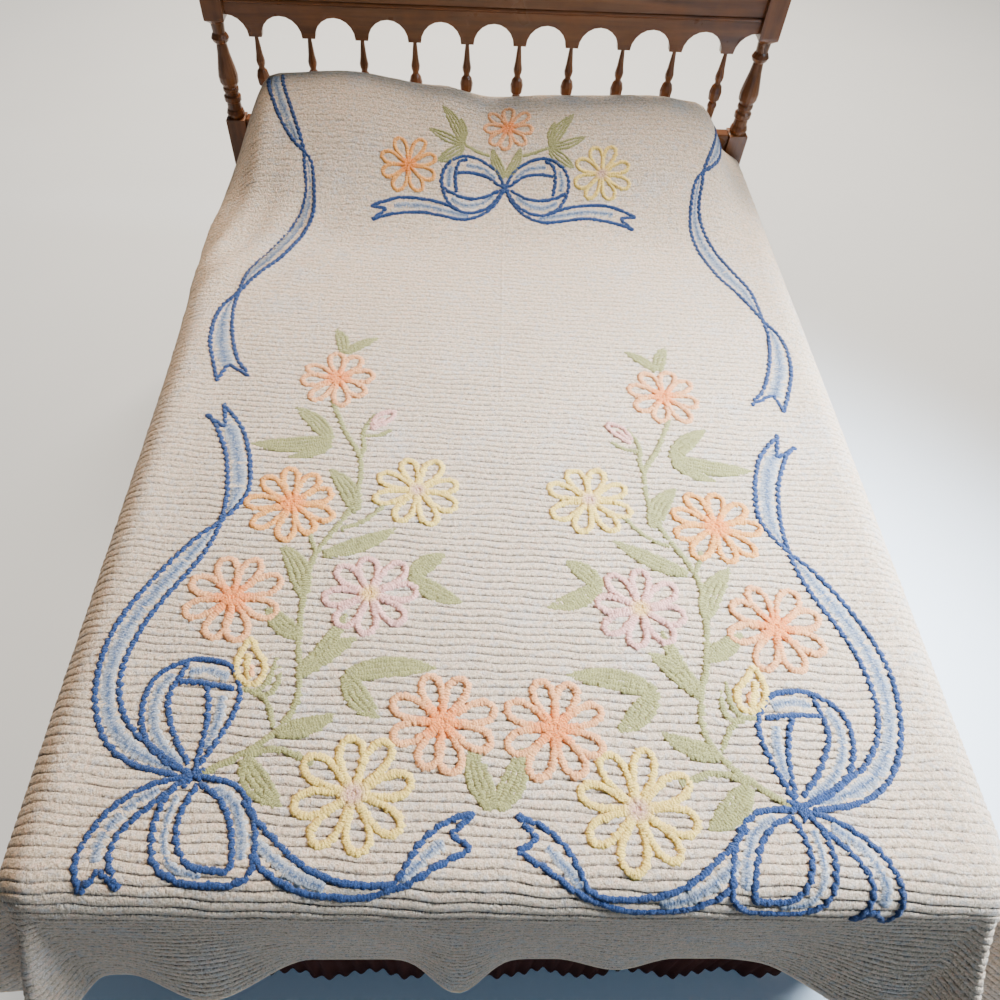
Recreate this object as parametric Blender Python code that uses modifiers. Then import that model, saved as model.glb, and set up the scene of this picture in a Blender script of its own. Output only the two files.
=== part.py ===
"""Tufted chenille bedspread draped over a double bed with a turned-spindle headboard.

Metres throughout. X runs across the bed, +Y points from the foot to the headboard, +Z is up.
While the pieces are being made, Y = 0 is the middle of the headboard's thickness and Z = 0 the
floor; centre_on_floor() then moves everything so that the origin lies under the middle of the bed.
"""

import math

import bmesh
import bpy
import numpy as np

# --- fits ---------------------------------------------------------------------------------------
TOUCH = 0.0003              # gap between two pieces that touch
EDGE_CLEARANCE = 0.003      # how far the spread stands off the mattress's rounded edges

# --- bed: levels above the floor ----------------------------------------------------------------
FRAME_TOP = 0.200
BOX_SPRING_HEIGHT = 0.190
SKIRT_THICKNESS = 0.002
MATTRESS_TOP = 0.595
RAIL_TOP = 0.643            # top of the headboard's lower rail, where the spindles stand

# --- bed: plan ------------------------------------------------------------------------------
MATTRESS_WIDTH = 1.370
MATTRESS_LENGTH = 1.905
MATTRESS_EDGE = 0.050       # radius of its rounded edges
MATTRESS_HEAD = -0.030      # Y of its head end, just in front of the posts
BED_SHIFT = 0.014           # the bedding lies a little to the right of the headboard's middle
BOX_INSET = 0.005
BOX_EDGE = 0.020

# --- headboard ------------------------------------------------------------------------------
POST_X = 0.690
POST_SIDE = 0.050
SPINDLE_COUNT = 10
SPINDLE_PITCH = 0.133
SPINDLE_LENGTH = 0.2075     # from the lower rail to the feet of the arches
LOWER_RAIL_HEIGHT = 0.110
LOWER_RAIL_DEPTH = 0.036
APRON_DEPTH = 0.020
ARCH_WIDTH = 0.101
ARCH_RISE = 0.050
ARCH_CUT = 0.002            # an arch point this near a post is left out
ARCH_STEPS = 10
APRON_ABOVE_ARCH = 0.026
BEAD_HEIGHT = 0.010
BEAD_DEPTH = 0.028
TOP_BOARD_HEIGHT = 0.046
TOP_BOARD_DEPTH = 0.018
CAP_HEIGHT = 0.016
CAP_DEPTH = 0.032
POST_ABOVE_CAP = 0.012

# One row for each change of the spindle's outline: height above the rail, radius.
SPINDLE_OUTLINE = (
    (0.0000, 0.0055), (0.0300, 0.0085), (0.0660, 0.0110), (0.0730, 0.0130), (0.0800, 0.0110),
    (0.0830, 0.0090), (0.0900, 0.0150), (0.1080, 0.0170), (0.1220, 0.0135), (0.1290, 0.0080),
    (0.1330, 0.0080), (0.1400, 0.0105), (0.1480, 0.0115), (0.1650, 0.0085), (0.2075, 0.0045),
)

# One row for each change of the post's outline: height above the rail, radius or half side, square.
POST_OUTLINE = (
    (0.000, 0.0250, True), (0.002, 0.0215, False), (0.012, 0.0240, False), (0.020, 0.0215, False),
    (0.024, 0.0190, False), (0.040, 0.0180, False), (0.044, 0.0220, False), (0.056, 0.0225, False),
    (0.061, 0.0180, False), (0.066, 0.0180, False), (0.070, 0.0205, False), (0.077, 0.0205, False),
    (0.081, 0.0180, False), (0.092, 0.0240, False), (0.108, 0.0252, False), (0.126, 0.0225, False),
    (0.160, 0.0160, False), (0.186, 0.0130, False), (0.192, 0.0190, False), (0.200, 0.0225, False),
    (0.208, 0.0190, False), (0.213, 0.0155, False), (0.236, 0.0170, False), (0.246, 0.0245, True),
)
POST_CHAMFER = 0.006
POST_FACETS = 16
SPINDLE_FACETS = 10

# --- hidden bed frame -----------------------------------------------------------------------
SIDE_RAIL_X = 0.640         # from the middle of the bedding
SIDE_RAIL_WIDTH = 0.030
BRACKET_THICKNESS = 0.004   # steel plate that ties a side rail to a headboard post
SIDE_RAIL_HEIGHT = 0.060
SLAT_WIDTH = 0.070
SLAT_HEIGHT = 0.020
SLAT_COUNT = 4
SLAT_FROM_END = 0.100       # from a rail's end to the middle of its nearest slat
RAIL_FOOT_INSET = 0.010     # of the rails' foot ends from the box spring's
BRACKET_INSET = 0.005       # of a plate from its post's outer side
LEG_SIDE = 0.045
LEG_FROM_FOOT = 0.060

# --- pillows --------------------------------------------------------------------------------
PILLOW_WIDTH = 0.580
PILLOW_DEPTH = 0.370
PILLOW_X = 0.300            # from the bed's middle
PILLOW_FROM_HEAD = 0.024
PILLOW_GAP = 0.005          # under the spread
PILLOW_BELLY = 0.36         # height of its widest girth, as a share of its top
PILLOW_SQUARENESS = 0.72    # 0 is a round plan, 1 a rectangle
PILLOW_CROWN = 0.8          # below 1 the crown is full
PILLOW_FLAT = 1.3           # above 1 the underside lies flat over part of the pillow
PILLOW_UNDERCUT = 0.7       # how the underside draws in from the girth

# --- spread: the cut cloth ------------------------------------------------------------------
SPREAD_WIDTH = 2.140
FOOT_RUN = 0.388            # cloth from the start of the foot's rounded edge to the hem
SPREAD_THICKNESS = 0.005    # ground cloth and pile
HEAD_GAP = 0.012            # between the mattress's head end and the spread's back fall

# --- spread: over the pillows ---------------------------------------------------------------
CREST_DEPTH = 0.062         # from the back fall to the top of the crest
SLOPE_END = -0.525          # Y where the front slope has run out on the mattress
BACK_FALL_LOW = 0.45        # share of the crest's height at the head hem
BACK_FALL_HIGH = 0.72       # share where the back fall starts to round over the crest
# Height of the cloth over the pillows, a row for each bump and hollow: X from the bed's middle,
# height over the mattress.
CREST_LINE = (
    (-0.585, 0.200), (-0.385, 0.212), (-0.155, 0.184), (-0.015, 0.158), (0.145, 0.168),
    (0.405, 0.176), (0.530, 0.162),
)
PILLOW_END_OUT = {-1: 0.705, 1: 0.660}  # from the bed's middle to the foot of the end slope
PILLOW_END_IN = {-1: 0.560, 1: 0.515}   # and to its top, on the left and the right

# --- spread: hanging parts ------------------------------------------------------------------
SIDE_BEND = 0.068           # the spread's radius over the mattress's sides
SIDE_TILT = math.radians(12)
FOOT_TILT = math.radians(1.2)
CORNER_SIDE_TILT = {-1: math.radians(13), 1: math.radians(13)}
CORNER_FOOT_TILT = {-1: math.radians(5), 1: math.radians(8)}
CORNER_PEAK = {-1: math.radians(17), 1: math.radians(17)}
CORNER_FLUTES = 2           # folds of the cloth that hangs from a corner's point
FLUTE_OPENING = 0.16        # keeps a flute's two flanks apart
CORNER_REACH = 0.28         # along an edge, where its tilt changes to the corner's
CORNER_SETTLED = 0.26       # cloth past the corner point where its folds are fully formed
CORNER_SKEW = {-1: 1.05, 1: 1.15}   # above 1 the flutes lie nearer the foot than the side
SIDE_WAVE_LENGTH = 0.47
SIDE_WAVE_REACH = 0.014
SIDE_WAVE_LAG = 0.7         # sets the left side's waves apart from the right side's
SIDE_WAVE_UNEVEN = 0.9
SIDE_WAVE_UNEVEN_RUN = 0.43
FOLD_GROWTH = 1.5           # a fold's reach grows with this power of the depth below the edge
# Folds of the foot drop, one row each: X of its middle from the bed's, half width, reach at the
# hem, sharpness.
FOOT_FOLDS = (
    (-0.465, 0.150, 0.050, 1.0),
    (-0.076, 0.125, 0.048, 3.0),
    (0.186, 0.100, 0.016, 1.0),
    (0.605, 0.180, 0.054, 1.0),
)

# --- spread: mesh ---------------------------------------------------------------------------
COLUMNS_TOP = 22
COLUMNS_END_SLOPE = 5
COLUMNS_EDGE = 5
COLUMNS_DROP = 7
DROP_SPACING = 1.25         # above 1 the drop's columns lie closer near the edge
ROWS_BACK = 2
ROWS_CREST = 4
ROWS_SLOPE = 8
ROWS_FLAT = 5
ROWS_EDGE = 5
ROWS_DROP = 7
FINE = 400                  # samples of a curve whose length is worked out

# --- bed skirt ------------------------------------------------------------------------------
SKIRT_FLOOR_GAP = 0.010
SKIRT_INSET = 0.0025        # of its drop's inner face from the mattress's sides
SKIRT_CORNER = 0.016
SKIRT_PLEAT = 0.160
SKIRT_REACH = 0.012
SKIRT_SPREAD = 0.006
SKIRT_UNEVEN = 0.8
SKIRT_UNEVEN_RUN = 0.32
SKIRT_ROWS = 3
SKIRT_SIDE_STEPS = 34
SKIRT_FOOT_STEPS = 26
SKIRT_CORNER_STEPS = 4

# --- colours: red, green, blue --------------------------------------------------------------
WOOD = (0.105, 0.040, 0.016)
FRAME_WOOD = (0.33, 0.22, 0.13)
STEEL = (0.12, 0.12, 0.13)
TICKING = (0.74, 0.72, 0.68)
CREAM = (0.72, 0.68, 0.61)
BROWN_CLOTH = (0.030, 0.014, 0.011)
PILLOW_CLOTH = (0.80, 0.78, 0.74)

HALF_BED = MATTRESS_WIDTH / 2
MATTRESS_FOOT = MATTRESS_HEAD - MATTRESS_LENGTH
CORNER_LEVEL = MATTRESS_TOP + EDGE_CLEARANCE
FOOT_BEND = MATTRESS_EDGE + EDGE_CLEARANCE
FOOT_BEND_RUN = FOOT_BEND * math.pi / 2
SIDE_BEND_RUN = SIDE_BEND * math.pi / 2
BOX_TOP = FRAME_TOP + TOUCH + BOX_SPRING_HEIGHT
SKIRT_TOP = BOX_TOP + TOUCH + SKIRT_THICKNESS
APRON_BOTTOM = RAIL_TOP + SPINDLE_LENGTH
APRON_TOP = APRON_BOTTOM + ARCH_RISE + APRON_ABOVE_ARCH
BETWEEN_POSTS = 2 * POST_X - POST_SIDE - 2 * TOUCH


# --- small helpers --------------------------------------------------------------------------
def clear_scene():
    for item in list(bpy.data.objects):
        bpy.data.objects.remove(item, do_unlink=True)


def new_collection(name):
    collection = bpy.data.collections.new(name)
    bpy.context.scene.collection.children.link(collection)
    return collection


def new_material(name, colour, roughness):
    material = bpy.data.materials.new(name)
    material.use_nodes = True
    shader = material.node_tree.nodes["Principled BSDF"]
    shader.inputs["Base Color"].default_value = (*colour, 1.0)
    shader.inputs["Roughness"].default_value = roughness
    shader.inputs["Metallic"].default_value = 0.0
    return material


def add_object(collection, name, mesh, colour, roughness):
    """Link a mesh as a named object with its own material."""
    mesh.materials.clear()
    mesh.materials.append(new_material(name, colour, roughness))
    item = bpy.data.objects.new(name, mesh)
    collection.objects.link(item)
    return item


def add_bevel(item, width, segments):
    bevel = item.modifiers.new("rounded_edges", "BEVEL")
    bevel.width = width
    bevel.segments = segments
    bevel.limit_method = "ANGLE"
    bevel.angle_limit = math.radians(30)


def add_box(collection, name, low, high, colour, roughness, bevel=0.0, segments=1):
    """A box between two corners, with rounded edges where bevel is given."""
    mesh = bpy.data.meshes.new(name)
    shape = bmesh.new()
    bmesh.ops.create_cube(shape, size=1.0)
    size = [b - a for a, b in zip(low, high)]
    bmesh.ops.scale(shape, vec=size, verts=shape.verts)
    shape.to_mesh(mesh)
    shape.free()
    item = add_object(collection, name, mesh, colour, roughness)
    item.location = [(a + b) / 2 for a, b in zip(low, high)]
    if bevel:
        add_bevel(item, bevel, segments)
    return item


def smoothstep(value):
    value = np.clip(value, 0.0, 1.0)
    return value * value * (3 - 2 * value)


def eased(value, table):
    """Read a two-column table at a value, easing from one row to the next."""
    spots = np.array([row[0] for row in table])
    heights = np.array([row[1] for row in table])
    index = np.clip(np.searchsorted(spots, value) - 1, 0, len(spots) - 2)
    share = (value - spots[index]) / (spots[index + 1] - spots[index])
    return heights[index] + (heights[index + 1] - heights[index]) * smoothstep(share)


# --- headboard ------------------------------------------------------------------------------
def ring_of_post(shape, height, half, square):
    """A ring of the post's points, lying on a square or on a circle."""
    ring = []
    for step in range(POST_FACETS):
        angle = 2 * math.pi * step / POST_FACETS
        reach = half
        if square:
            reach = half / max(abs(math.cos(angle)), abs(math.sin(angle)))
        point = (reach * math.cos(angle), reach * math.sin(angle), height)
        ring.append(shape.verts.new(point))
    return ring


def add_post(collection, name, x):
    """Square block to the floor, turned length beside the spindles, square block at the top."""
    top = APRON_TOP + BEAD_HEIGHT + TOP_BOARD_HEIGHT + CAP_HEIGHT + POST_ABOVE_CAP
    half = POST_SIDE / 2
    rows = [(0.0, half - POST_CHAMFER / 2, True), (POST_CHAMFER, half, True)]
    rows += [(RAIL_TOP + height, size, square) for height, size, square in POST_OUTLINE]
    rows += [(RAIL_TOP + POST_OUTLINE[-1][0] + POST_CHAMFER, half, True)]
    rows += [(top - POST_CHAMFER, half, True), (top, half - POST_CHAMFER, True)]
    shape = bmesh.new()
    rings = [ring_of_post(shape, *row) for row in rows]
    for lower, upper in zip(rings, rings[1:]):
        for step in range(POST_FACETS):
            after = (step + 1) % POST_FACETS
            shape.faces.new((lower[step], lower[after], upper[after], upper[step]))
    shape.faces.new(list(reversed(rings[0])))
    shape.faces.new(rings[-1])
    mesh = bpy.data.meshes.new(name)
    shape.to_mesh(mesh)
    shape.free()
    item = add_object(collection, name, mesh, WOOD, 0.35)
    item.location.x = x
    return item


def add_spindle(collection, name, x):
    """A turned spindle: its outline, swept round by a Screw modifier."""
    outline = [(0.0, SPINDLE_OUTLINE[-1][0] - TOUCH)]
    for height, radius in reversed(SPINDLE_OUTLINE):
        inside = min(max(height, TOUCH), SPINDLE_LENGTH - TOUCH)
        outline.append((radius, inside))
    outline.append((0.0, TOUCH))
    mesh = bpy.data.meshes.new(name)
    points = [(radius, 0.0, height) for radius, height in outline]
    mesh.from_pydata(points, [(i, i + 1) for i in range(len(points) - 1)], [])
    item = add_object(collection, name, mesh, WOOD, 0.35)
    item.location = (x, 0.0, RAIL_TOP)
    screw = item.modifiers.new("turned", "SCREW")
    screw.steps = SPINDLE_FACETS
    screw.render_steps = SPINDLE_FACETS
    screw.use_merge_vertices = True
    screw.merge_threshold = 0.00005
    return item


def arch_points(middle):
    """Half an ellipse, from an arch's left foot over its crown to its right foot."""
    points = []
    for step in range(ARCH_STEPS + 1):
        angle = math.pi * (1 - step / ARCH_STEPS)
        x = middle + ARCH_WIDTH / 2 * math.cos(angle)
        z = APRON_BOTTOM + ARCH_RISE * math.sin(angle)
        points.append((x, z))
    return points


def apron_outline():
    """The scalloped board's outline: whole arches between spindles, half arches at the posts."""
    half = BETWEEN_POSTS / 2
    points = [(-half, APRON_TOP)]
    first = -SPINDLE_PITCH * SPINDLE_COUNT / 2
    for index in range(SPINDLE_COUNT + 1):
        arch = arch_points(first + index * SPINDLE_PITCH)
        points += [(x, z) for x, z in arch if abs(x) < half - ARCH_CUT]
    crown = APRON_BOTTOM + ARCH_RISE
    points.insert(1, (-half, crown))
    points.append((half, crown))
    points.append((half, APRON_TOP))
    return points


def add_apron(collection):
    """The scalloped board, cut from its flat outline."""
    curve = bpy.data.curves.new("headboard_apron", "CURVE")
    curve.dimensions = "2D"
    curve.fill_mode = "BOTH"
    curve.extrude = APRON_DEPTH / 2
    curve.render_resolution_u = 0
    outline = apron_outline()
    spline = curve.splines.new("POLY")
    spline.points.add(len(outline) - 1)
    for point, (x, z) in zip(spline.points, outline):
        point.co = (x, z, 0.0, 1.0)
    spline.use_cyclic_u = True
    curve.materials.append(new_material("headboard_apron", WOOD, 0.35))
    item = bpy.data.objects.new("headboard_apron", curve)
    item.rotation_euler.x = math.pi / 2
    collection.objects.link(item)
    return item


def add_headboard(collection):
    add_post(collection, "headboard_post_left", -POST_X)
    add_post(collection, "headboard_post_right", POST_X)
    half = BETWEEN_POSTS / 2
    add_box(
        collection, "headboard_lower_rail",
        (-half, -LOWER_RAIL_DEPTH / 2, RAIL_TOP - LOWER_RAIL_HEIGHT),
        (half, LOWER_RAIL_DEPTH / 2, RAIL_TOP), WOOD, 0.35, 0.003, 1,
    )
    for index in range(SPINDLE_COUNT):
        x = (index - (SPINDLE_COUNT - 1) / 2) * SPINDLE_PITCH
        add_spindle(collection, f"spindle_{index + 1:02d}", x)
    add_apron(collection)
    bead_bottom = APRON_TOP + TOUCH
    bead_top = bead_bottom + BEAD_HEIGHT
    add_box(
        collection, "headboard_bead", (-half, -BEAD_DEPTH / 2, bead_bottom),
        (half, BEAD_DEPTH / 2, bead_top), WOOD, 0.35, 0.0045, 2,
    )
    board_bottom = bead_top + TOUCH
    board_top = board_bottom + TOP_BOARD_HEIGHT
    add_box(
        collection, "headboard_top_board", (-half, -TOP_BOARD_DEPTH / 2, board_bottom),
        (half, TOP_BOARD_DEPTH / 2, board_top), WOOD, 0.35,
    )
    add_box(
        collection, "headboard_cap", (-half, -CAP_DEPTH / 2, board_top + TOUCH),
        (half, CAP_DEPTH / 2, board_top + TOUCH + CAP_HEIGHT), WOOD, 0.35, 0.006, 2,
    )


# --- bed --------------------------------------------------------------------------------------
def add_bed_frame(collection):
    """Side rails under the bedding, plates that tie them to the posts, slats and foot legs."""
    plate_back = -POST_SIDE / 2 - TOUCH
    plate_front = plate_back - BRACKET_THICKNESS
    rail_head = plate_front - TOUCH
    rail_foot = MATTRESS_FOOT + BOX_INSET + RAIL_FOOT_INSET
    slat_bottom = FRAME_TOP - SLAT_HEIGHT
    rail_top = slat_bottom - TOUCH
    rail_bottom = rail_top - SIDE_RAIL_HEIGHT
    half = SIDE_RAIL_WIDTH / 2
    for side, name in ((-1, "left"), (1, "right")):
        x = BED_SHIFT + side * SIDE_RAIL_X
        add_box(
            collection, f"side_rail_{name}", (x - half, rail_foot, rail_bottom),
            (x + half, rail_head, rail_top), FRAME_WOOD, 0.6,
        )
        outer = side * (POST_X + POST_SIDE / 2 - BRACKET_INSET)
        inner = x - side * half
        add_box(
            collection, f"headboard_bracket_{name}", (min(outer, inner), plate_front, rail_bottom),
            (max(outer, inner), plate_back, rail_top), STEEL, 0.4,
        )
        y = rail_foot + LEG_FROM_FOOT
        leg_x = x - side * (LEG_SIDE - SIDE_RAIL_WIDTH) / 2
        add_box(
            collection, f"foot_leg_{name}", (leg_x - LEG_SIDE / 2, y - LEG_SIDE / 2, 0.0),
            (leg_x + LEG_SIDE / 2, y + LEG_SIDE / 2, rail_bottom - TOUCH), FRAME_WOOD, 0.6,
        )
    reach = SIDE_RAIL_X + half
    first = rail_foot + SLAT_FROM_END
    pitch = (rail_head - SLAT_FROM_END - first) / (SLAT_COUNT - 1)
    for index in range(SLAT_COUNT):
        y = first + index * pitch
        add_box(
            collection, f"slat_{index + 1}",
            (BED_SHIFT - reach, y - SLAT_WIDTH / 2, slat_bottom),
            (BED_SHIFT + reach, y + SLAT_WIDTH / 2, FRAME_TOP), FRAME_WOOD, 0.6,
        )


def add_bedding_blocks(collection):
    half = HALF_BED - BOX_INSET
    add_box(
        collection, "box_spring",
        (BED_SHIFT - half, MATTRESS_FOOT + BOX_INSET, FRAME_TOP + TOUCH),
        (BED_SHIFT + half, MATTRESS_HEAD, BOX_TOP), TICKING, 0.9, BOX_EDGE, 2,
    )
    add_box(
        collection, "mattress",
        (BED_SHIFT - HALF_BED, MATTRESS_FOOT, SKIRT_TOP + TOUCH),
        (BED_SHIFT + HALF_BED, MATTRESS_HEAD, MATTRESS_TOP), TICKING, 0.9, MATTRESS_EDGE, 4,
    )


def add_pillow(collection, name, x):
    """A filled pillow that fills the spread's bump: a rounded cage, flat on the mattress."""
    shape = bmesh.new()
    bmesh.ops.create_uvsphere(shape, u_segments=24, v_segments=12, radius=1.0)
    middle_y = MATTRESS_HEAD - PILLOW_FROM_HEAD - PILLOW_DEPTH / 2
    for point in shape.verts:
        across, along, up = point.co
        flat = math.hypot(across, along)
        squared = 1.0
        if flat > 1e-6:
            squared = (flat / max(abs(across), abs(along))) ** PILLOW_SQUARENESS
        plan_x = x + across * squared * PILLOW_WIDTH / 2
        plan_y = middle_y + along * squared * PILLOW_DEPTH / 2
        share = share_at(plan_y)
        room = pillow_height(np.array([plan_x]), share)[0] - PILLOW_GAP
        level = PILLOW_BELLY * max(0.0, 1 - PILLOW_FLAT * abs(up) ** PILLOW_UNDERCUT)
        if up > 0:
            level = PILLOW_BELLY + (1 - PILLOW_BELLY) * up ** PILLOW_CROWN
        point.co = (plan_x, plan_y, room * level)
    mesh = bpy.data.meshes.new(name)
    shape.to_mesh(mesh)
    shape.free()
    item = add_object(collection, name, mesh, PILLOW_CLOTH, 0.9)
    item.location = (BED_SHIFT, 0.0, MATTRESS_TOP + TOUCH)
    return item


# --- bed skirt ----------------------------------------------------------------------------------
def skirt_path():
    """Points and outward directions from the head's left end round the foot to the right end."""
    half = HALF_BED - SKIRT_INSET
    inner = half - SKIRT_CORNER
    foot = MATTRESS_FOOT + SKIRT_INSET
    turn = foot + SKIRT_CORNER
    bend = np.linspace(0.0, math.pi / 2, SKIRT_CORNER_STEPS + 1)[1:-1]
    sides = np.linspace(MATTRESS_HEAD, turn, SKIRT_SIDE_STEPS + 1)
    path = [(-half, y, math.pi) for y in sides]
    for angle in math.pi + bend:
        path.append((SKIRT_CORNER * math.cos(angle) - inner, turn + SKIRT_CORNER * math.sin(angle), angle))
    path += [(x, foot, 1.5 * math.pi) for x in np.linspace(-inner, inner, SKIRT_FOOT_STEPS + 1)]
    for angle in 1.5 * math.pi + bend:
        path.append((SKIRT_CORNER * math.cos(angle) + inner, turn + SKIRT_CORNER * math.sin(angle), angle))
    path += [(half, y, 0.0) for y in reversed(sides)]
    return path


def skirt_wave(run):
    """0 to 1 along the skirt: its soft, slightly uneven pleats."""
    uneven = SKIRT_UNEVEN * math.sin(run / SKIRT_UNEVEN_RUN)
    return 0.5 + 0.5 * math.sin(2 * math.pi * run / SKIRT_PLEAT + uneven)


def add_bed_skirt(collection):
    """A flat deck under the mattress with a gathered drop on the foot and both sides."""
    shape = bmesh.new()
    deck_level = BOX_TOP + TOUCH
    drop = deck_level - SKIRT_FLOOR_GAP
    path = skirt_path()
    rows = []
    for row in range(SKIRT_ROWS + 1):
        depth = row / SKIRT_ROWS
        ring = []
        run = 0.0
        for index, (x, y, angle) in enumerate(path):
            if index:
                run += math.hypot(x - path[index - 1][0], y - path[index - 1][1])
            out = depth ** 2 * (SKIRT_REACH * skirt_wave(run) + SKIRT_SPREAD)
            point = (
                BED_SHIFT + x + out * math.cos(angle), y + out * math.sin(angle),
                deck_level - depth * drop,
            )
            ring.append(shape.verts.new(point))
        rows.append(ring)
    for upper, lower in zip(rows, rows[1:]):
        for index in range(len(path) - 1):
            shape.faces.new((upper[index], lower[index], lower[index + 1], upper[index + 1]))
    shape.faces.new(rows[0])
    mesh = bpy.data.meshes.new("bed_skirt")
    shape.to_mesh(mesh)
    shape.free()
    item = add_object(collection, "bed_skirt", mesh, BROWN_CLOTH, 0.9)
    solid = item.modifiers.new("cloth", "SOLIDIFY")
    solid.thickness = SKIRT_THICKNESS
    solid.offset = 1.0
    return item


# --- spread -------------------------------------------------------------------------------------
def head_profile():
    """Y and share of the crest at each row, from the head hem to the foot's edge."""
    back = MATTRESS_HEAD - HEAD_GAP
    crest = back - CREST_DEPTH
    edge = MATTRESS_FOOT + MATTRESS_EDGE
    rise = np.linspace(BACK_FALL_LOW, BACK_FALL_HIGH, ROWS_BACK, endpoint=False)
    turn = np.linspace(0.0, math.pi / 2, ROWS_CREST, endpoint=False)
    slope = np.linspace(crest, SLOPE_END, ROWS_SLOPE, endpoint=False)
    flat = np.linspace(SLOPE_END, edge, ROWS_FLAT + 1)
    over = back - CREST_DEPTH * (1 - np.cos(turn))
    y = np.concatenate([np.full(len(rise), back), over, slope, flat])
    share = np.concatenate([
        rise,
        BACK_FALL_HIGH + (1 - BACK_FALL_HIGH) * np.sin(turn),
        smoothstep((slope - SLOPE_END) / (crest - SLOPE_END)),
        np.zeros(len(flat)),
    ])
    return y, share


def share_at(y):
    """Share of the crest's height at a place along the bed."""
    back = MATTRESS_HEAD - HEAD_GAP
    crest = back - CREST_DEPTH
    if y <= crest:
        return smoothstep((y - SLOPE_END) / (crest - SLOPE_END))
    turn = math.acos(min(max(1 - (back - y) / CREST_DEPTH, 0.0), 1.0))
    return BACK_FALL_HIGH + (1 - BACK_FALL_HIGH) * math.sin(turn)


def pillow_height(x, share):
    """Height of the spread's underside over the mattress, at X from the middle of the bed."""
    outer = np.where(x < 0, PILLOW_END_OUT[-1], PILLOW_END_OUT[1])
    inner = np.where(x < 0, PILLOW_END_IN[-1], PILLOW_END_IN[1])
    end = smoothstep((outer - np.abs(x)) / (outer - inner))
    return share * end * eased(x, CREST_LINE)


def edge_path(run, tilt, radius):
    """How far out and how far down the cloth is, a run of it past the start of a rounded edge."""
    turn = math.pi / 2 - tilt
    bent = np.minimum(run / radius, turn)
    straight = np.maximum(run - radius * turn, 0.0)
    out = radius * np.sin(bent) + straight * np.sin(tilt)
    down = radius * (1 - np.cos(bent)) + straight * np.cos(tilt)
    return out, down


def foot_fold(x):
    """Reach of the foot drop's folds at the hem."""
    reach = np.zeros_like(x)
    for middle, half_width, height, sharpness in FOOT_FOLDS:
        near = np.clip(1 - np.abs(x - middle) / half_width, 0.0, 1.0)
        reach = np.maximum(reach, height * smoothstep(near) ** (0.5 * sharpness + 0.5))
    return reach


def side_fold(y, side):
    """Reach of the side drop's shallow waves at the hem."""
    uneven = SIDE_WAVE_UNEVEN * np.sin(y / SIDE_WAVE_UNEVEN_RUN)
    wave = np.sin(2 * math.pi * y / SIDE_WAVE_LENGTH + SIDE_WAVE_LAG * side + uneven)
    return SIDE_WAVE_REACH * (0.5 + 0.5 * wave)


def side_tilt(y, side):
    """Tilt of the side drop, which changes towards the foot corner."""
    near = 1 - smoothstep((y - MATTRESS_FOOT - MATTRESS_EDGE) / CORNER_REACH)
    return SIDE_TILT + (CORNER_SIDE_TILT[side] - SIDE_TILT) * near


def foot_tilt(x, side):
    """Tilt of the foot drop, which changes towards the corner."""
    near = 1 - smoothstep((HALF_BED - MATTRESS_EDGE - np.abs(x)) / CORNER_REACH)
    return FOOT_TILT + (CORNER_FOOT_TILT[side] - FOOT_TILT) * near


def corner_fan(side):
    """Tilt and azimuth of the rulings round a corner, for each share of the cloth's flat quarter.

    The rulings leave one point. The tilt rises and falls once for each flute; the azimuth turns
    slowly where the tilt changes fast, so that the flat quarter is hardly stretched.
    """
    first = CORNER_SIDE_TILT[side]
    last = CORNER_FOOT_TILT[side]
    share = np.linspace(0.0, 1.0, FINE + 1)
    flutes = (1 - np.cos(2 * math.pi * CORNER_FLUTES * share ** CORNER_SKEW[side])) / 2
    tilt = first + (last - first) * share + CORNER_PEAK[side] * flutes
    rate = np.gradient(tilt, math.pi / 2 / FINE)
    speed = np.sqrt(np.clip(1 - rate * rate, FLUTE_OPENING, 1.0)) / np.sin(tilt)
    turned = np.concatenate([[0.0], np.cumsum((speed[1:] + speed[:-1]) / 2)])
    quarter = math.pi / 2
    return share * quarter, tilt, turned * quarter / turned[-1]


def drop_shares(count):
    """Shares of a drop's run at its mesh lines, closer together near the edge."""
    return np.linspace(0.0, 1.0, count + 1)[1:] ** DROP_SPACING


def spread_rows():
    """One entry for each row of the mesh: Y, share of the crest, cloth past the foot's edge."""
    y, share = head_profile()
    beyond = np.concatenate([
        np.linspace(0.0, FOOT_BEND_RUN, ROWS_EDGE + 1)[1:],
        FOOT_BEND_RUN + (FOOT_RUN - FOOT_BEND_RUN) * drop_shares(ROWS_DROP),
    ])
    rows = [(a, b, 0.0) for a, b in zip(y, share)]
    rows += [(y[-1], 0.0, run) for run in beyond]
    return rows


def spread_columns(side):
    """Half a row, from the middle out: X over the top, then shares of the edge and the drop."""
    inner = np.linspace(0.0, PILLOW_END_IN[side], COLUMNS_TOP // 2, endpoint=False)
    slope = np.linspace(PILLOW_END_IN[side], HALF_BED - MATTRESS_EDGE, COLUMNS_END_SLOPE + 1)
    edge = np.linspace(0.0, 1.0, COLUMNS_EDGE + 1)[1:]
    return np.concatenate([inner, slope]), edge, drop_shares(COLUMNS_DROP)


def lift(x, y):
    """The underside's height over the mattress: touching inside, standing off near the edges."""
    inward = HALF_BED - MATTRESS_EDGE - np.abs(x)
    upward = y - (MATTRESS_FOOT + MATTRESS_EDGE)
    near = 1 - smoothstep(np.minimum(inward, upward) / MATTRESS_EDGE)
    return TOUCH + (EDGE_CLEARANCE - TOUCH) * near


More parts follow.
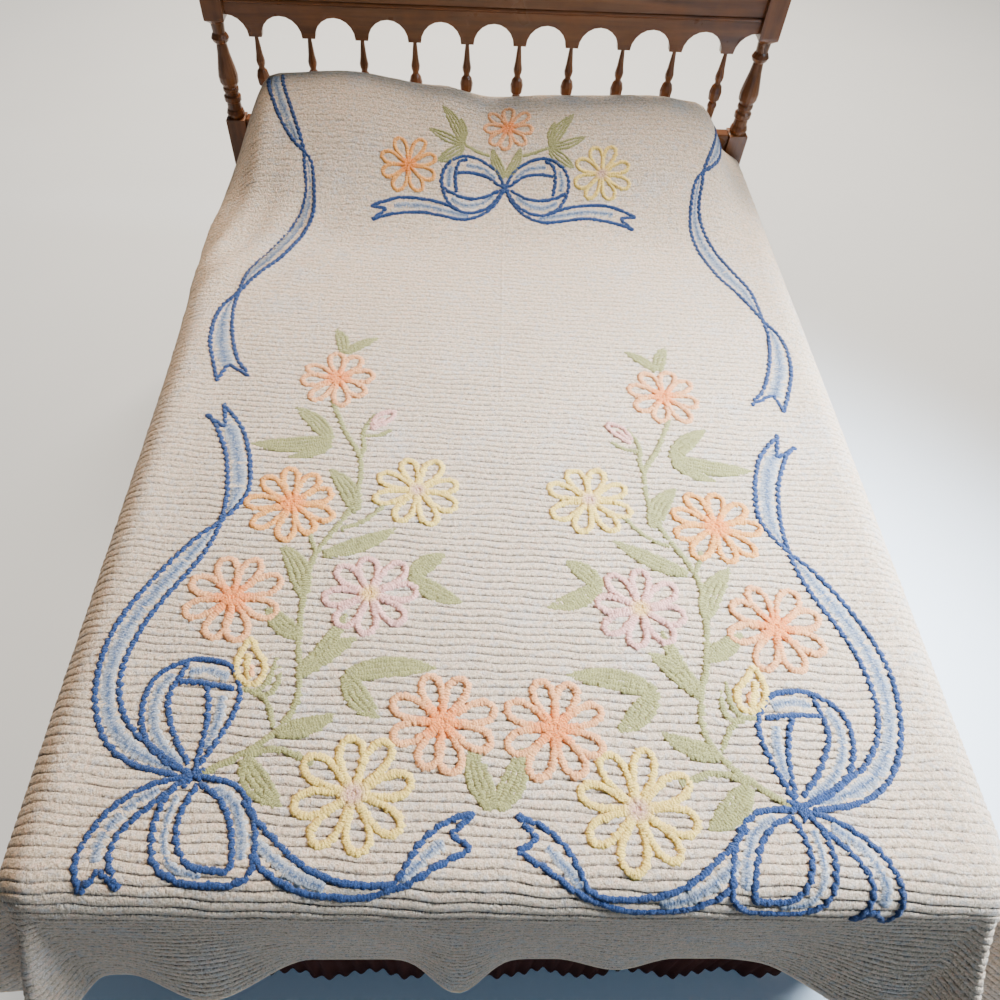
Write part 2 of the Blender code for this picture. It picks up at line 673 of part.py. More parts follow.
def row_points(y, share, beyond, side, fan):
    """Underside points of half a row, from the middle of the bed to the side hem."""
    top, edge, drop = spread_columns(side)
    x = side * top
    depth = (max(beyond - FOOT_BEND_RUN, 0.0) / (FOOT_RUN - FOOT_BEND_RUN)) ** FOLD_GROWTH
    foot_out, foot_down = edge_path(beyond, foot_tilt(x, side), FOOT_BEND)
    foot_out = foot_out + foot_fold(x) * depth
    height = MATTRESS_TOP + lift(x, np.full_like(x, y)) + pillow_height(x, share) - foot_down
    points = list(zip(x, y - foot_out, height))

    fine = np.linspace(0.0, top[-1], FINE)
    length = np.hypot(np.diff(fine), np.diff(pillow_height(side * fine, share))).sum()
    hanging = SPREAD_WIDTH / 2 - length - SIDE_BEND_RUN
    for run in np.concatenate([SIDE_BEND_RUN * edge, SIDE_BEND_RUN + hanging * drop]):
        hang = (max(run - SIDE_BEND_RUN, 0.0) / hanging) ** FOLD_GROWTH
        wave_side = side_fold(y, side) * hang
        if beyond <= 0.0:
            out, down = edge_path(run, side_tilt(y, side), SIDE_BEND)
            across = side * (top[-1] + out + wave_side)
            over = pillow_height(np.array([across]), share)[0]
            points.append((across, y, CORNER_LEVEL + over - down))
            continue
        reach = math.hypot(run, beyond)
        angle = math.atan2(beyond, run)
        turned = np.interp(angle, fan[0], fan[2])
        azimuth = angle + (turned - angle) * smoothstep(reach / CORNER_SETTLED)
        bend = SIDE_BEND + (FOOT_BEND - SIDE_BEND) * angle / (math.pi / 2)
        out, down = edge_path(reach, np.interp(angle, fan[0], fan[1]), bend)
        wave_foot = foot_fold(x[-1:])[0] * depth
        to_side = out * math.cos(azimuth) + wave_side * math.cos(azimuth) ** 2
        to_foot = out * math.sin(azimuth) + wave_foot * math.sin(azimuth) ** 2
        points.append((side * (top[-1] + to_side), y - to_foot, CORNER_LEVEL - down))
    return points


def add_split_quad(shape, quad, start):
    """Two triangles that share the diagonal from one of the quad's points."""
    a, b, c, d = quad[start:] + quad[:start]
    shape.faces.new((a, b, c))
    shape.faces.new((a, c, d))


def add_bedspread(collection):
    """The spread: its draped underside as a grid, given its thickness by Solidify."""
    fans = {side: corner_fan(side) for side in (-1, 1)}
    shape = bmesh.new()
    grid = []
    for y, share, beyond in spread_rows():
        left = row_points(y, share, beyond, -1, fans[-1])
        right = row_points(y, share, beyond, 1, fans[1])
        row = list(reversed(left[1:])) + right
        grid.append([shape.verts.new((BED_SHIFT + x, across, z)) for x, across, z in row])
    first_corner_row = len(grid) - ROWS_EDGE - ROWS_DROP - 1
    corner_columns = COLUMNS_EDGE + COLUMNS_DROP
    last = len(grid[0]) - 1
    for row, (upper, lower) in enumerate(zip(grid, grid[1:])):
        for index in range(last):
            quad = (upper[index], lower[index], lower[index + 1], upper[index + 1])
            if row >= first_corner_row and index < corner_columns:
                add_split_quad(shape, quad, 1)
            elif row >= first_corner_row and index >= last - corner_columns:
                add_split_quad(shape, quad, 0)
            else:
                shape.faces.new(quad)
    mesh = bpy.data.meshes.new("bedspread")
    shape.to_mesh(mesh)
    shape.free()
    item = add_object(collection, "bedspread", mesh, CREAM, 0.95)
    solid = item.modifiers.new("cloth_and_pile", "SOLIDIFY")
    solid.thickness = SPREAD_THICKNESS
    solid.offset = 1.0
    return item


# --- placing ------------------------------------------------------------------------------------
def centre_on_floor(collection):
    """Move every piece by one step, so the origin lies under the middle of the whole."""
    bpy.context.view_layer.update()
    graph = bpy.context.evaluated_depsgraph_get()
    corners = []
    for item in collection.objects:
        ready = item.evaluated_get(graph)
        mesh = ready.to_mesh()
        corners += [item.matrix_world @ point.co for point in mesh.vertices]
        ready.to_mesh_clear()
    step = [-(min(c[axis] for c in corners) + max(c[axis] for c in corners)) / 2 for axis in (0, 1)]
    for item in collection.objects:
        item.location.x += step[0]
        item.location.y += step[1]
    bpy.context.view_layer.update()


def main():
    clear_scene()
    collection = new_collection("chenille_bedspread_on_bed")
    add_headboard(collection)
    add_bed_frame(collection)
    add_bedding_blocks(collection)
    add_bed_skirt(collection)
    add_pillow(collection, "pillow_left", -PILLOW_X)
    add_pillow(collection, "pillow_right", PILLOW_X)
    add_bedspread(collection)
    centre_on_floor(collection)


main()
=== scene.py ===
"""Chenille bedspread on a double bed: the visible pieces, their materials, the light and the camera.

Metres. The cloth is worked out in the bed's own frame (X = 0 and Y = 0 at the middle of the
headboard, Z = 0 at the floor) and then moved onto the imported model.
"""
import math

import bmesh
import bpy
import numpy as np
from mathutils import Matrix, Vector


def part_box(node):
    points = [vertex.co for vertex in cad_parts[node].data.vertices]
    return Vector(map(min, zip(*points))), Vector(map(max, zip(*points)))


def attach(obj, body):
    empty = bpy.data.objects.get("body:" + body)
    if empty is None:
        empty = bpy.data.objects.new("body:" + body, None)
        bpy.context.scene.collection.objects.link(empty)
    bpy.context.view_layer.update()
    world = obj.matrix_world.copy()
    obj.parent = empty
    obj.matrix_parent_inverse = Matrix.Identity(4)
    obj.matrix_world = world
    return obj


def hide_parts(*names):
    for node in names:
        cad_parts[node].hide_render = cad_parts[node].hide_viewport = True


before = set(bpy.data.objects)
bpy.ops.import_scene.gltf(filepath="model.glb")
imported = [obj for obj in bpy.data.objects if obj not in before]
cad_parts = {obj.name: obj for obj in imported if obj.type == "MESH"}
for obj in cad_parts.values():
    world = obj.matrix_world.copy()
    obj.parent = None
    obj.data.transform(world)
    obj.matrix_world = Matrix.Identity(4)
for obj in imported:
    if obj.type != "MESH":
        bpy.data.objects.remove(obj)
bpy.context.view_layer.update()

rng = np.random.default_rng(7)

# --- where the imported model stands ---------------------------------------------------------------
POST_LOW, POST_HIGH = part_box("headboard_post_left")
POST_X = 0.690
BED_ORIGIN = np.array([
    (POST_LOW.x + POST_HIGH.x) / 2 + POST_X,
    (POST_LOW.y + POST_HIGH.y) / 2,
    0.0,
])

# --- camera --------------------------------------------------------------------------------------
RAIL_TOP = 0.643
CAMERA_PLACE = np.array([-0.0806, -2.1274, 1.0857 + RAIL_TOP])
CAMERA_YAW = math.radians(-3.137)
CAMERA_PITCH = math.radians(52.688)
CAMERA_ROLL = math.radians(3.463)
CAMERA_FOCAL_PX = 781.6
CAMERA_CENTRE_PX = (480.0, 500.0)
PHOTO_PX = 1000.0
SENSOR_MM = 36.0

# --- bed -----------------------------------------------------------------------------------------
MATTRESS_TOP = 0.595
MATTRESS_WIDTH = 1.370
MATTRESS_LENGTH = 1.905
MATTRESS_EDGE = 0.050
MATTRESS_HEAD = -0.030
BED_SHIFT = 0.014
EDGE_CLEARANCE = 0.003
TOUCH = 0.0003
HALF_BED = MATTRESS_WIDTH / 2
TOP_HALF = HALF_BED - MATTRESS_EDGE
MATTRESS_FOOT = MATTRESS_HEAD - MATTRESS_LENGTH

# --- bedspread's drape, as in the solid model ----------------------------------------------------
SPREAD_WIDTH = 2.140
FOOT_RUN = 0.388
HEAD_GAP = 0.012
CREST_DEPTH = 0.062
SLOPE_END = -0.525
BACK_FALL_LOW = 0.45
BACK_FALL_HIGH = 0.72
CREST_LINE = (
    (-0.585, 0.200), (-0.385, 0.212), (-0.155, 0.184), (-0.015, 0.158), (0.145, 0.168),
    (0.405, 0.176), (0.530, 0.162),
)
MEAN_CREST = 0.180
PILLOW_END_OUT = {-1: 0.705, 1: 0.660}
PILLOW_END_IN = {-1: 0.560, 1: 0.515}
SIDE_BEND = 0.068
SIDE_TILT = math.radians(12)
FOOT_TILT = math.radians(1.2)
CORNER_SIDE_TILT = math.radians(13)
CORNER_FOOT_TILT = {-1: math.radians(5), 1: math.radians(8)}
CORNER_PEAK = math.radians(17)
CORNER_FLUTES = 2
FLUTE_OPENING = 0.16
CORNER_REACH = 0.28
CORNER_SETTLED = 0.26
CORNER_SKEW = {-1: 1.05, 1: 1.15}
SIDE_WAVE_LENGTH = 0.47
SIDE_WAVE_REACH = 0.014
SIDE_WAVE_LAG = 0.7
SIDE_WAVE_UNEVEN = 0.9
SIDE_WAVE_UNEVEN_RUN = 0.43
FOLD_GROWTH = 1.5
FOOT_FOLDS = (
    (-0.465, 0.150, 0.050, 1.0),
    (-0.076, 0.125, 0.048, 3.0),
    (0.186, 0.100, 0.016, 1.0),
    (0.605, 0.180, 0.054, 1.0),
)
CORNER_LEVEL = MATTRESS_TOP + EDGE_CLEARANCE
FOOT_BEND = MATTRESS_EDGE + EDGE_CLEARANCE
FOOT_BEND_RUN = FOOT_BEND * math.pi / 2
SIDE_BEND_RUN = SIDE_BEND * math.pi / 2
FINE = 400
PUCKER_AT = (-0.560, 0.560)
PUCKER_REACH = (0.170, 0.210)
PUCKER_HEIGHT = 0.0150
PUCKER_RATE = 74.0
PUCKER_SLANT = 0.35          # how far the puckers lean: across per metre down
BULGE_AT = (-0.800, 0.600)
BULGE_REACH = (0.180, 0.260)
BULGE_HEIGHT = 0.012

# --- chenille ------------------------------------------------------------------------------------
ROW_PITCH = 0.0136
ROW_VALLEY = 0.0020         # over the cloth's underside
ROW_RISE = 0.0030
ROW_FAINT = 0.30            # the rows' relief on the pillows, as a share of that at the foot
ROW_FAINT_UNTIL = 0.45
ROW_FULL_FROM = 1.45
ROW_SIDE_LOSS = 0.38        # how much of the relief is lost at the sides
ROW_SIDE_FROM = 0.46
ROW_SIDE_REACH = 0.22
ROW_PROFILE = ((0.0, 0.0), (0.11, 0.70), (0.24, 1.0), (0.76, 1.0), (0.89, 0.70))
ROW_WANDER = 0.0026
ROW_JAG = 0.00045            # sideways unevenness of a row, from column to column
ROW_CREST_UNEVEN = 0.10
ROW_EDGE = 0.03             # the first and last rows run straight beside the hem
ROW_COLUMN = 0.0215         # between the grid's columns on the top
ROW_EDGE_COLUMN = 0.0150    # and round the bed's edge
ROW_DROP_COLUMNS = 19
ROW_INNER_TO = 0.640
ROW_EDGE_TO = 0.760
CLOTH_TURN = 0.033          # the rows and the pattern lie turned on the bed: rise over run
TURN_FROM_HEAD = 0.95       # where the pattern's middle line crosses the bed's
HEM_FADE = 0.16
CREASE_WIDTH = 0.0045
CREASE_FROM = 0.50
CREASE_TO = 1.05
PILE_PITCH = 0.0044         # from strand to strand along a tufted line
PILE_UNEVEN = 9.0           # how far the strands stray from that pitch, in radians
HEM_STEP = 0.012
HEM_MIDDLE = 0.0025         # over the cloth's underside
HEM_RADIUS = 0.0027
TUFT_STEP = 0.0024
TUFT_UNEVEN = 0.06          # in a line's width, as a share of it
TUFT_STRAY = 0.0003         # sideways
TUFT_FOOT = 0.0030          # where a tufted line starts, over the cloth's underside
TUFT_ANGLES = np.radians([-112, -72, -36, 0, 36, 72, 112])
BEADED = (0.58, 0.0022, 0.10)   # dip between the rows, sideways shift in metres, roughness
EVEN = (0.16, 0.0006, 0.14)
ROW_TURN_HEAD = -0.009
ROW_TURN_FOOT = 0.049
PATTERN_SHIFT = 0.013       # the pattern's middle line bows to the right below the middle
PATTERN_SHIFT_AT = 1.5
PATTERN_SHIFT_REACH = 0.25

# --- bed skirt, mattress and pillows -------------------------------------------------------------
SKIRT_INSET = 0.0025
SKIRT_CORNER = 0.016
SKIRT_PLEAT = 0.160
SKIRT_REACH = 0.012
SKIRT_SPREAD = 0.006
SKIRT_FLOOR_GAP = 0.010
SKIRT_STEP = 0.0035
DECK_INSET = SKIRT_INSET + 0.002
SKIRT_DEPTHS = (0.0, 0.04, 0.1, 0.2, 0.32, 0.45, 0.58, 0.7, 0.82, 0.92, 0.97, 1.0)
BOX_TOP = 0.3903
GATHER_PITCH = 0.027
GATHER_REACH = 0.0036
BLOCK_CELL = 0.045
TICKING_PITCH = 0.022
PILLOW_FROM_HEAD = 0.024
PILLOW_DEPTH = 0.370
PILLOW_WIDTH = 0.580
PILLOW_GAP = 0.006
PILLOW_CELLS = 44

# --- colours: linear red, green, blue ------------------------------------------------------------
CREAM = (0.720, 0.490, 0.305)
# painted shade in the valleys between the rows
VALLEY_SHADE = (0.105, 0.072, 0.050)
COOL_FLECK = (0.450, 0.440, 0.440)
WARM_FLECK = (0.800, 0.470, 0.300)
DARK_BLUE = (0.010, 0.038, 0.138)
LIGHT_BLUE = (0.064, 0.110, 0.215)
PALE_EDGE = (0.580, 0.550, 0.510)
ORANGE = (1.00, 0.360, 0.075)
HEART_ORANGE = (0.98, 0.195, 0.010)
HEART_YELLOW = (0.86, 0.50, 0.080)
HEART_PINK = (0.66, 0.30, 0.300)
PEACH = (1.00, 0.385, 0.145)
YELLOW = (0.98, 0.590, 0.130)
PINK = (0.84, 0.405, 0.325)
GREEN = (0.320, 0.280, 0.092)
COOL_MARK = (0.48, 0.53, 0.58)
WARM_MARK = (0.74, 0.52, 0.42)
PILE_TIP = (0.88, 0.76, 0.62)
BROWN = (0.050, 0.014, 0.009)
TICKING = (0.62, 0.58, 0.50)
TICKING_STRIPE = (0.16, 0.22, 0.33)
TAPE = (0.45, 0.44, 0.42)
LINEN = (0.66, 0.64, 0.60)
DARK_WOOD = (0.120, 0.040, 0.010)
PALE_WOOD = (0.42, 0.27, 0.14)
STEEL_DARK = (0.30, 0.30, 0.31)
STEEL_LIGHT = (0.52, 0.52, 0.53)
FLOOR_DARK = (0.74, 0.79, 0.85)
FLOOR_LIGHT = (0.78, 0.83, 0.89)


# --- drape ---------------------------------------------------------------------------------------
def unit(vectors):
    return vectors / np.linalg.norm(vectors, axis=-1, keepdims=True)


def smoothstep(value):
    value = np.clip(value, 0.0, 1.0)
    return value * value * (3 - 2 * value)


def eased(value, table):
    """Read a two-column table at a value, easing from one row to the next."""
    spots = np.array([row[0] for row in table])
    heights = np.array([row[1] for row in table])
    index = np.clip(np.searchsorted(spots, value) - 1, 0, len(spots) - 2)
    share = (value - spots[index]) / (spots[index + 1] - spots[index])
    return heights[index] + (heights[index + 1] - heights[index]) * smoothstep(share)


def pillow_height(x, share):
    outer = np.where(x < 0, PILLOW_END_OUT[-1], PILLOW_END_OUT[1])
    inner = np.where(x < 0, PILLOW_END_IN[-1], PILLOW_END_IN[1])
    end = smoothstep((outer - np.abs(x)) / (outer - inner))
    return share * end * eased(x, CREST_LINE)


def edge_path(run, tilt, radius):
    """How far out and how far down the cloth is, a run of it past the start of a rounded edge."""
    turn = math.pi / 2 - tilt
    bent = np.minimum(run / radius, turn)
    straight = np.maximum(run - radius * turn, 0.0)
    out = radius * np.sin(bent) + straight * np.sin(tilt)
    down = radius * (1 - np.cos(bent)) + straight * np.cos(tilt)
    return out, down


def foot_fold(x):
    reach = np.zeros_like(x)
    for middle, half_width, height, sharpness in FOOT_FOLDS:
        near = np.clip(1 - np.abs(x - middle) / half_width, 0.0, 1.0)
        reach = np.maximum(reach, height * smoothstep(near) ** (0.5 * sharpness + 0.5))
    return reach


def side_fold(y, side):
    uneven = SIDE_WAVE_UNEVEN * np.sin(y / SIDE_WAVE_UNEVEN_RUN)
    wave = np.sin(2 * math.pi * y / SIDE_WAVE_LENGTH + SIDE_WAVE_LAG * side + uneven)
    return SIDE_WAVE_REACH * (0.5 + 0.5 * wave)


def side_tilt(y):
    near = 1 - smoothstep((y - MATTRESS_FOOT - MATTRESS_EDGE) / CORNER_REACH)
    return SIDE_TILT + (CORNER_SIDE_TILT - SIDE_TILT) * near


def foot_tilt(x, side):
    near = 1 - smoothstep((TOP_HALF - np.abs(x)) / CORNER_REACH)
    return FOOT_TILT + (CORNER_FOOT_TILT[side] - FOOT_TILT) * near


def corner_fan(side):
    """Tilt and azimuth of the rulings round a corner, for each share of the cloth's flat quarter."""
    share = np.linspace(0.0, 1.0, FINE + 1)
    flutes = (1 - np.cos(2 * math.pi * CORNER_FLUTES * share ** CORNER_SKEW[side])) / 2
    base = CORNER_SIDE_TILT + (CORNER_FOOT_TILT[side] - CORNER_SIDE_TILT) * share
    tilt = base + CORNER_PEAK * flutes
    rate = np.gradient(tilt, math.pi / 2 / FINE)
    speed = np.sqrt(np.clip(1 - rate * rate, FLUTE_OPENING, 1.0)) / np.sin(tilt)
    turned = np.concatenate([[0.0], np.cumsum((speed[1:] + speed[:-1]) / 2)])
    quarter = math.pi / 2
    return share * quarter, tilt, turned * quarter / turned[-1]


def lift(x, y):
    inward = TOP_HALF - np.abs(x)
    upward = y - (MATTRESS_FOOT + MATTRESS_EDGE)
    near = 1 - smoothstep(np.minimum(inward, upward) / MATTRESS_EDGE)
    return TOUCH + (EDGE_CLEARANCE - TOUCH) * near


def head_line():
    """Down the middle of the cloth: run from the head hem, Y and share of the crest."""
    back = MATTRESS_HEAD - HEAD_GAP
    crest = back - CREST_DEPTH
    edge = MATTRESS_FOOT + MATTRESS_EDGE
    rise = np.linspace(BACK_FALL_LOW, BACK_FALL_HIGH, 20, endpoint=False)
    turn = np.linspace(0.0, math.pi / 2, 60, endpoint=False)
    slope = np.linspace(crest, SLOPE_END, 200, endpoint=False)
    flat = np.linspace(SLOPE_END, edge, 50)
    over = back - CREST_DEPTH * (1 - np.cos(turn))
    y = np.concatenate([np.full(len(rise), back), over, slope, flat])
    share = np.concatenate([
        rise,
        BACK_FALL_HIGH + (1 - BACK_FALL_HIGH) * np.sin(turn),
        smoothstep((slope - SLOPE_END) / (crest - SLOPE_END)),
        np.zeros(len(flat)),
    ])
    steps = np.hypot(np.diff(y), MEAN_CREST * np.diff(share))
    return np.concatenate([[0.0], np.cumsum(steps)]), y, share


def half_row(u, y, share, beyond, side, fan):
    """Underside points of half a row, for distances u out from the middle of the cloth."""
    fine = np.linspace(0.0, TOP_HALF, FINE)
    rise = pillow_height(side * fine, share)
    length = np.concatenate([[0.0], np.cumsum(np.hypot(np.diff(fine), np.diff(rise)))])
    hanging = SPREAD_WIDTH / 2 - length[-1] - SIDE_BEND_RUN
    x = side * np.interp(u, length, fine)
    run = np.maximum(u - length[-1], 0.0)
    hang = (np.maximum(run - SIDE_BEND_RUN, 0.0) / hanging) ** FOLD_GROWTH
    wave_side = side_fold(y, side) * hang
    depth = (max(beyond - FOOT_BEND_RUN, 0.0) / (FOOT_RUN - FOOT_BEND_RUN)) ** FOLD_GROWTH
    foot_out, foot_down = edge_path(beyond, foot_tilt(x, side), FOOT_BEND)
    level = MATTRESS_TOP + lift(x, np.full_like(x, y)) + pillow_height(x, share)
    top = np.stack([x, y - foot_out - foot_fold(x) * depth, level - foot_down], 1)
    if beyond <= 0.0:
        out, down = edge_path(run, side_tilt(y), SIDE_BEND)
        across = side * (TOP_HALF + out + wave_side)
        over = pillow_height(across, share)
        hung = np.stack([across, np.full_like(across, y), CORNER_LEVEL + over - down], 1)
    else:
        reach = np.hypot(run, beyond)
        angle = np.arctan2(beyond, run)
        turned = np.interp(angle, fan[0], fan[2])
        azimuth = angle + (turned - angle) * smoothstep(reach / CORNER_SETTLED)
        bend = SIDE_BEND + (FOOT_BEND - SIDE_BEND) * angle / (math.pi / 2)
        out, down = edge_path(reach, np.interp(angle, fan[0], fan[1]), bend)
        wave_foot = foot_fold(np.array([side * TOP_HALF]))[0] * depth
        to_side = out * np.cos(azimuth) + wave_side * np.cos(azimuth) ** 2
        to_foot = out * np.sin(azimuth) + wave_foot * np.sin(azimuth) ** 2
        hung = np.stack([side * (TOP_HALF + to_side), y - to_foot, CORNER_LEVEL - down], 1)
    return np.where((run > 0)[:, None], hung, top)


def hump(u, t, at, reach):
    """A soft round swelling on the flat cloth: 1 at its middle."""
    return np.exp(-((u - at[0]) / reach[0]) ** 2 - ((t - at[1]) / reach[1]) ** 2)


def puckers(u, t):
    """Loose, slightly bunched cloth beside the left end of the pillow, and its soft bulge there."""
    slanted = u + PUCKER_SLANT * (t - PUCKER_AT[1])
    folds = 0.38 * np.sin(PUCKER_RATE * slanted + 2.2 * np.sin(9.0 * t))
    folds = folds + 0.12 * np.sin(31.0 * t - 17.0 * u)
    near = PUCKER_HEIGHT * hump(u, t, PUCKER_AT, PUCKER_REACH)
    return near * (0.5 + folds) + BULGE_HEIGHT * hump(u, t, BULGE_AT, BULGE_REACH)


class Cloth:
    """The draped underside and its normals on a regular grid of the flat cloth."""

    def __init__(self, step=0.008):
        self.run, self.line_y, self.line_share = head_line()
        self.length = self.run[-1] + FOOT_RUN
        half = SPREAD_WIDTH / 2
        self.across = np.linspace(-half, half, round(SPREAD_WIDTH / step) + 1)
        self.along = np.linspace(0.0, self.length, round(self.length / step) + 1)
        fans = {side: corner_fan(side) for side in (-1, 1)}
        left = self.across < 0
        rows = []
        for t in self.along:
            beyond = max(t - self.run[-1], 0.0)
            y = np.interp(t, self.run, self.line_y)
            share = np.interp(t, self.run, self.line_share)
            a = half_row(-self.across[left], y, share, beyond, -1, fans[-1])
            b = half_row(self.across[~left], y, share, beyond, 1, fans[1])
            rows.append(np.concatenate([a, b]))
        self.points = np.array(rows)
        self.points[..., 0] += BED_SHIFT
        down = np.gradient(self.points, axis=0)
        over = np.gradient(self.points, axis=1)
        self.normals = unit(np.cross(over, -down))
        self.points += self.normals * puckers(self.across, self.along[:, None])[..., None]

    def at(self, u, t, height):
        """World points at a height over the underside, for places u, t on the flat cloth."""
        i, k = (np.clip((value - grid[0]) / (grid[1] - grid[0]), 0, len(grid) - 1.001)
                for value, grid in ((t, self.along), (u, self.across)))
        i0, k0 = i.astype(int), k.astype(int)
        a, b = (i - i0)[..., None], (k - k0)[..., None]

        def mixed(field):
            upper = field[i0, k0] * (1 - b) + field[i0, k0 + 1] * b
            lower = field[i0 + 1, k0] * (1 - b) + field[i0 + 1, k0 + 1] * b
            return upper * (1 - a) + lower * a

        raised = unit(mixed(self.normals)) * np.asarray(height)[..., None]
        return mixed(self.points) + raised + BED_ORIGIN


cloth = Cloth()


# --- meshes --------------------------------------------------------------------------------------
def add_mesh(name, points, faces, material, smooth=True):
    mesh = bpy.data.meshes.new(name)
    mesh.from_pydata([tuple(p) for p in points], [], [tuple(f) for f in faces])
    mesh.materials.append(material)
    if smooth:
        mesh.polygons.foreach_set("use_smooth", [True] * len(mesh.polygons))
    mesh.update()
    item = bpy.data.objects.new(name, mesh)
    bpy.context.scene.collection.objects.link(item)
    return item


def store(item, name, values):
    """Keep a number at each point of a mesh, for its material to read."""
    stored = item.data.attributes.new(name, "FLOAT", "POINT")
    stored.data.foreach_set("value", np.concatenate(values).astype(np.float32))


def grid_faces(rows, columns, closed=False, flip=False):
    """Quads of a grid of points stored row by row."""
    faces = []
    for r in range(rows - 1):
        for c in range(columns if closed else columns - 1):
            here, after = r * columns, (c + 1) % columns
            quad = (here + c, here + columns + c, here + columns + after, here + after)
            faces.append(quad[::-1] if flip else quad)
    return faces


def add_cord(name, centre, side, over, radius, facets, material):
    """A closed round cord along a ring of points, with the directions beside and over each."""
    angles = 2 * math.pi * np.arange(facets)[:, None] / facets
    ring = np.cos(angles) * side[:, None] + np.sin(angles) * over[:, None]
    points = (centre[:, None] + radius * ring).reshape(-1, 3)
    quads = grid_faces(len(centre) + 1, facets, closed=True)
    return add_mesh(name, points, [[i % len(points) for i in quad] for quad in quads], material)


def thicken(sheet, thickness):
    solid = sheet.modifiers.new("cloth", "SOLIDIFY")
    solid.thickness = thickness
    solid.offset = 0.0
    return sheet


# --- materials -----------------------------------------------------------------------------------
def tinted(colour, factor):
    return tuple(min(1.0, c * factor) for c in colour)


class Look:
    """A material made of nodes, with short ways to add to it."""

    def __init__(self, name):
        self.material = bpy.data.materials.new(name)
        self.material.use_nodes = True
        self.tree = self.material.node_tree
        self.shader = self.tree.nodes["Principled BSDF"]
        self.place = self.add("ShaderNodeTexCoord").outputs["Object"]
        self.normal = None

    def fill(self, node, inputs):
        """Give each input of a node its link or its own value."""
        for key, value in inputs.items():
            if isinstance(value, bpy.types.NodeSocket):
                self.tree.links.new(value, node.inputs[key])
            else:
                node.inputs[key].default_value = value

    def add(self, kind, inputs=None, **settings):
        node = self.tree.nodes.new(kind)
        for key, value in settings.items():
            setattr(node, key, value)
        self.fill(node, inputs or {})
        return node

    def math(self, operation, *values):
        return self.add("ShaderNodeMath", dict(enumerate(values)), operation=operation).outputs[0]

    def stored(self, name):
        return self.add("ShaderNodeAttribute", attribute_name=name).outputs["Fac"]

    def stretched(self, vector, scale):
        return self.add("ShaderNodeMapping", {"Vector": vector, "Scale": scale}).outputs["Vector"]

    def noise(self, scale, detail=2.0, rough=0.5, vector=None):
        vector = self.place if vector is None else vector
        inputs = {"Vector": vector, "Scale": scale, "Detail": detail, "Roughness": rough}
        return self.add("ShaderNodeTexNoise", inputs).outputs["Fac"]

    def ramp(self, value, low, high, start, end):
        """Map a value from low..high onto start..end."""
        inputs = {"Value": value, "From Min": low, "From Max": high, "To Min": start, "To Max": end}
        return self.add("ShaderNodeMapRange", inputs).outputs["Result"]

    def mix(self, share, first, second):
        first, second = ((*c, 1.0) if isinstance(c, tuple) else c for c in (first, second))
        inputs = {0: share, 6: first, 7: second}
        return self.add("ShaderNodeMix", inputs, data_type="RGBA").outputs[2]

    def mottled(self, colour, value, low, high, dark, light):
        """A colour that turns from darker to lighter as a value passes from low to high."""
        return self.mix(self.ramp(value, low, high, 0.0, 1.0), tinted(colour, dark), tinted(colour, light))

    def layers(self, base, *layers):
        """Lay colours over a base: each is (value, low, high, share at high, colour)."""
        for value, low, high, share, colour in layers:
            base = self.mix(self.ramp(value, low, high, 0.0, share), base, colour)
        return base

    def bump(self, height, distance, strength):
        """One more relief on top of those before it."""
        inputs = {"Height": height, "Distance": distance, "Strength": strength}
        if self.normal is not None:
            inputs["Normal"] = self.normal
        self.normal = self.add("ShaderNodeBump", inputs).outputs["Normal"]

    def finish(self, colour, roughness, **sockets):
        """Set the shader's sockets, named with _ for a space, and give back the material."""
        named = {key.replace("_", " "): value for key, value in sockets.items()}
        self.fill(self.shader, {"Base Color": colour, "Roughness": roughness, **named})
        if self.normal is not None:
            self.fill(self.shader, {"Normal": self.normal})
        return self.material

    def pile(self):
        """The two finest sizes of unevenness in cotton pile: strands and clumps."""
        strands = self.noise(900.0, 2.0, 0.7)
        inputs = {"Vector": self.place, "Scale": 420.0, "Randomness": 1.0}
        clumps = self.add("ShaderNodeTexVoronoi", inputs, feature="F1")
        return strands, clumps.outputs["Distance"]


def tuft_material(name, colour, mottle=None, heart=None, edge=None, flank_shade=0.52):
    """Cotton pile of one dye: soft, fuzzy, a little uneven from tuft to tuft, with painted shade between
    its strands and on its flanks.
    """
    look = Look(name)
    fine = look.noise(330.0, 3.0, 0.7)
    strands, clumps = look.pile()
    wave = look.math("MULTIPLY", look.stored("run"), 2 * math.pi / PILE_PITCH)
    ticks = look.math("SINE", look.math("MULTIPLY_ADD", look.noise(260.0, 2.0, 0.6), PILE_UNEVEN, wave))
    shade = look.mottled(colour, look.noise(60.0), 0.3, 0.7, 0.84, 1.12)
    if mottle is not None:
        shade = look.layers(shade, (look.noise(190.0, 2.0, 0.7), 0.45, 0.65, 0.75, mottle))
    if heart is not None:
        shade = look.mix(look.stored("heart"), shade, heart)
    shade = look.layers(shade, (fine, 0.40, 0.72, 0.45, tinted(colour, 1.4)))
    # Painted shade: darker in the dips between the strands, where the ticks' bump is low.
    shade = look.mix(look.ramp(ticks, -1.0, 0.2, 0.34, 0.0), shade, tinted(colour, 0.42))
    # Painted shade on the lines' flanks, towards 30% of the dye; the pale blue's flanks turn instead to
    # its paler edge dye.
    flank = (0.35, 1.0, flank_shade, tinted(colour, 0.30)) if edge is None else (0.05, 0.60, 0.95, edge)
    shade = look.layers(
        shade,
        (look.stored("flank"), *flank),
        (clumps, 0.35, 0.75, 0.36, tinted(colour, 0.40)),
    )
    look.bump(ticks, 0.0009, 0.6)
    look.bump(fine, 0.0030, 0.9)
    look.bump(strands, 0.0016, 0.8)
    return look.finish(shade, 0.95, Sheen_Weight=0.18, Sheen_Roughness=0.6, Specular_IOR_Level=0.12)


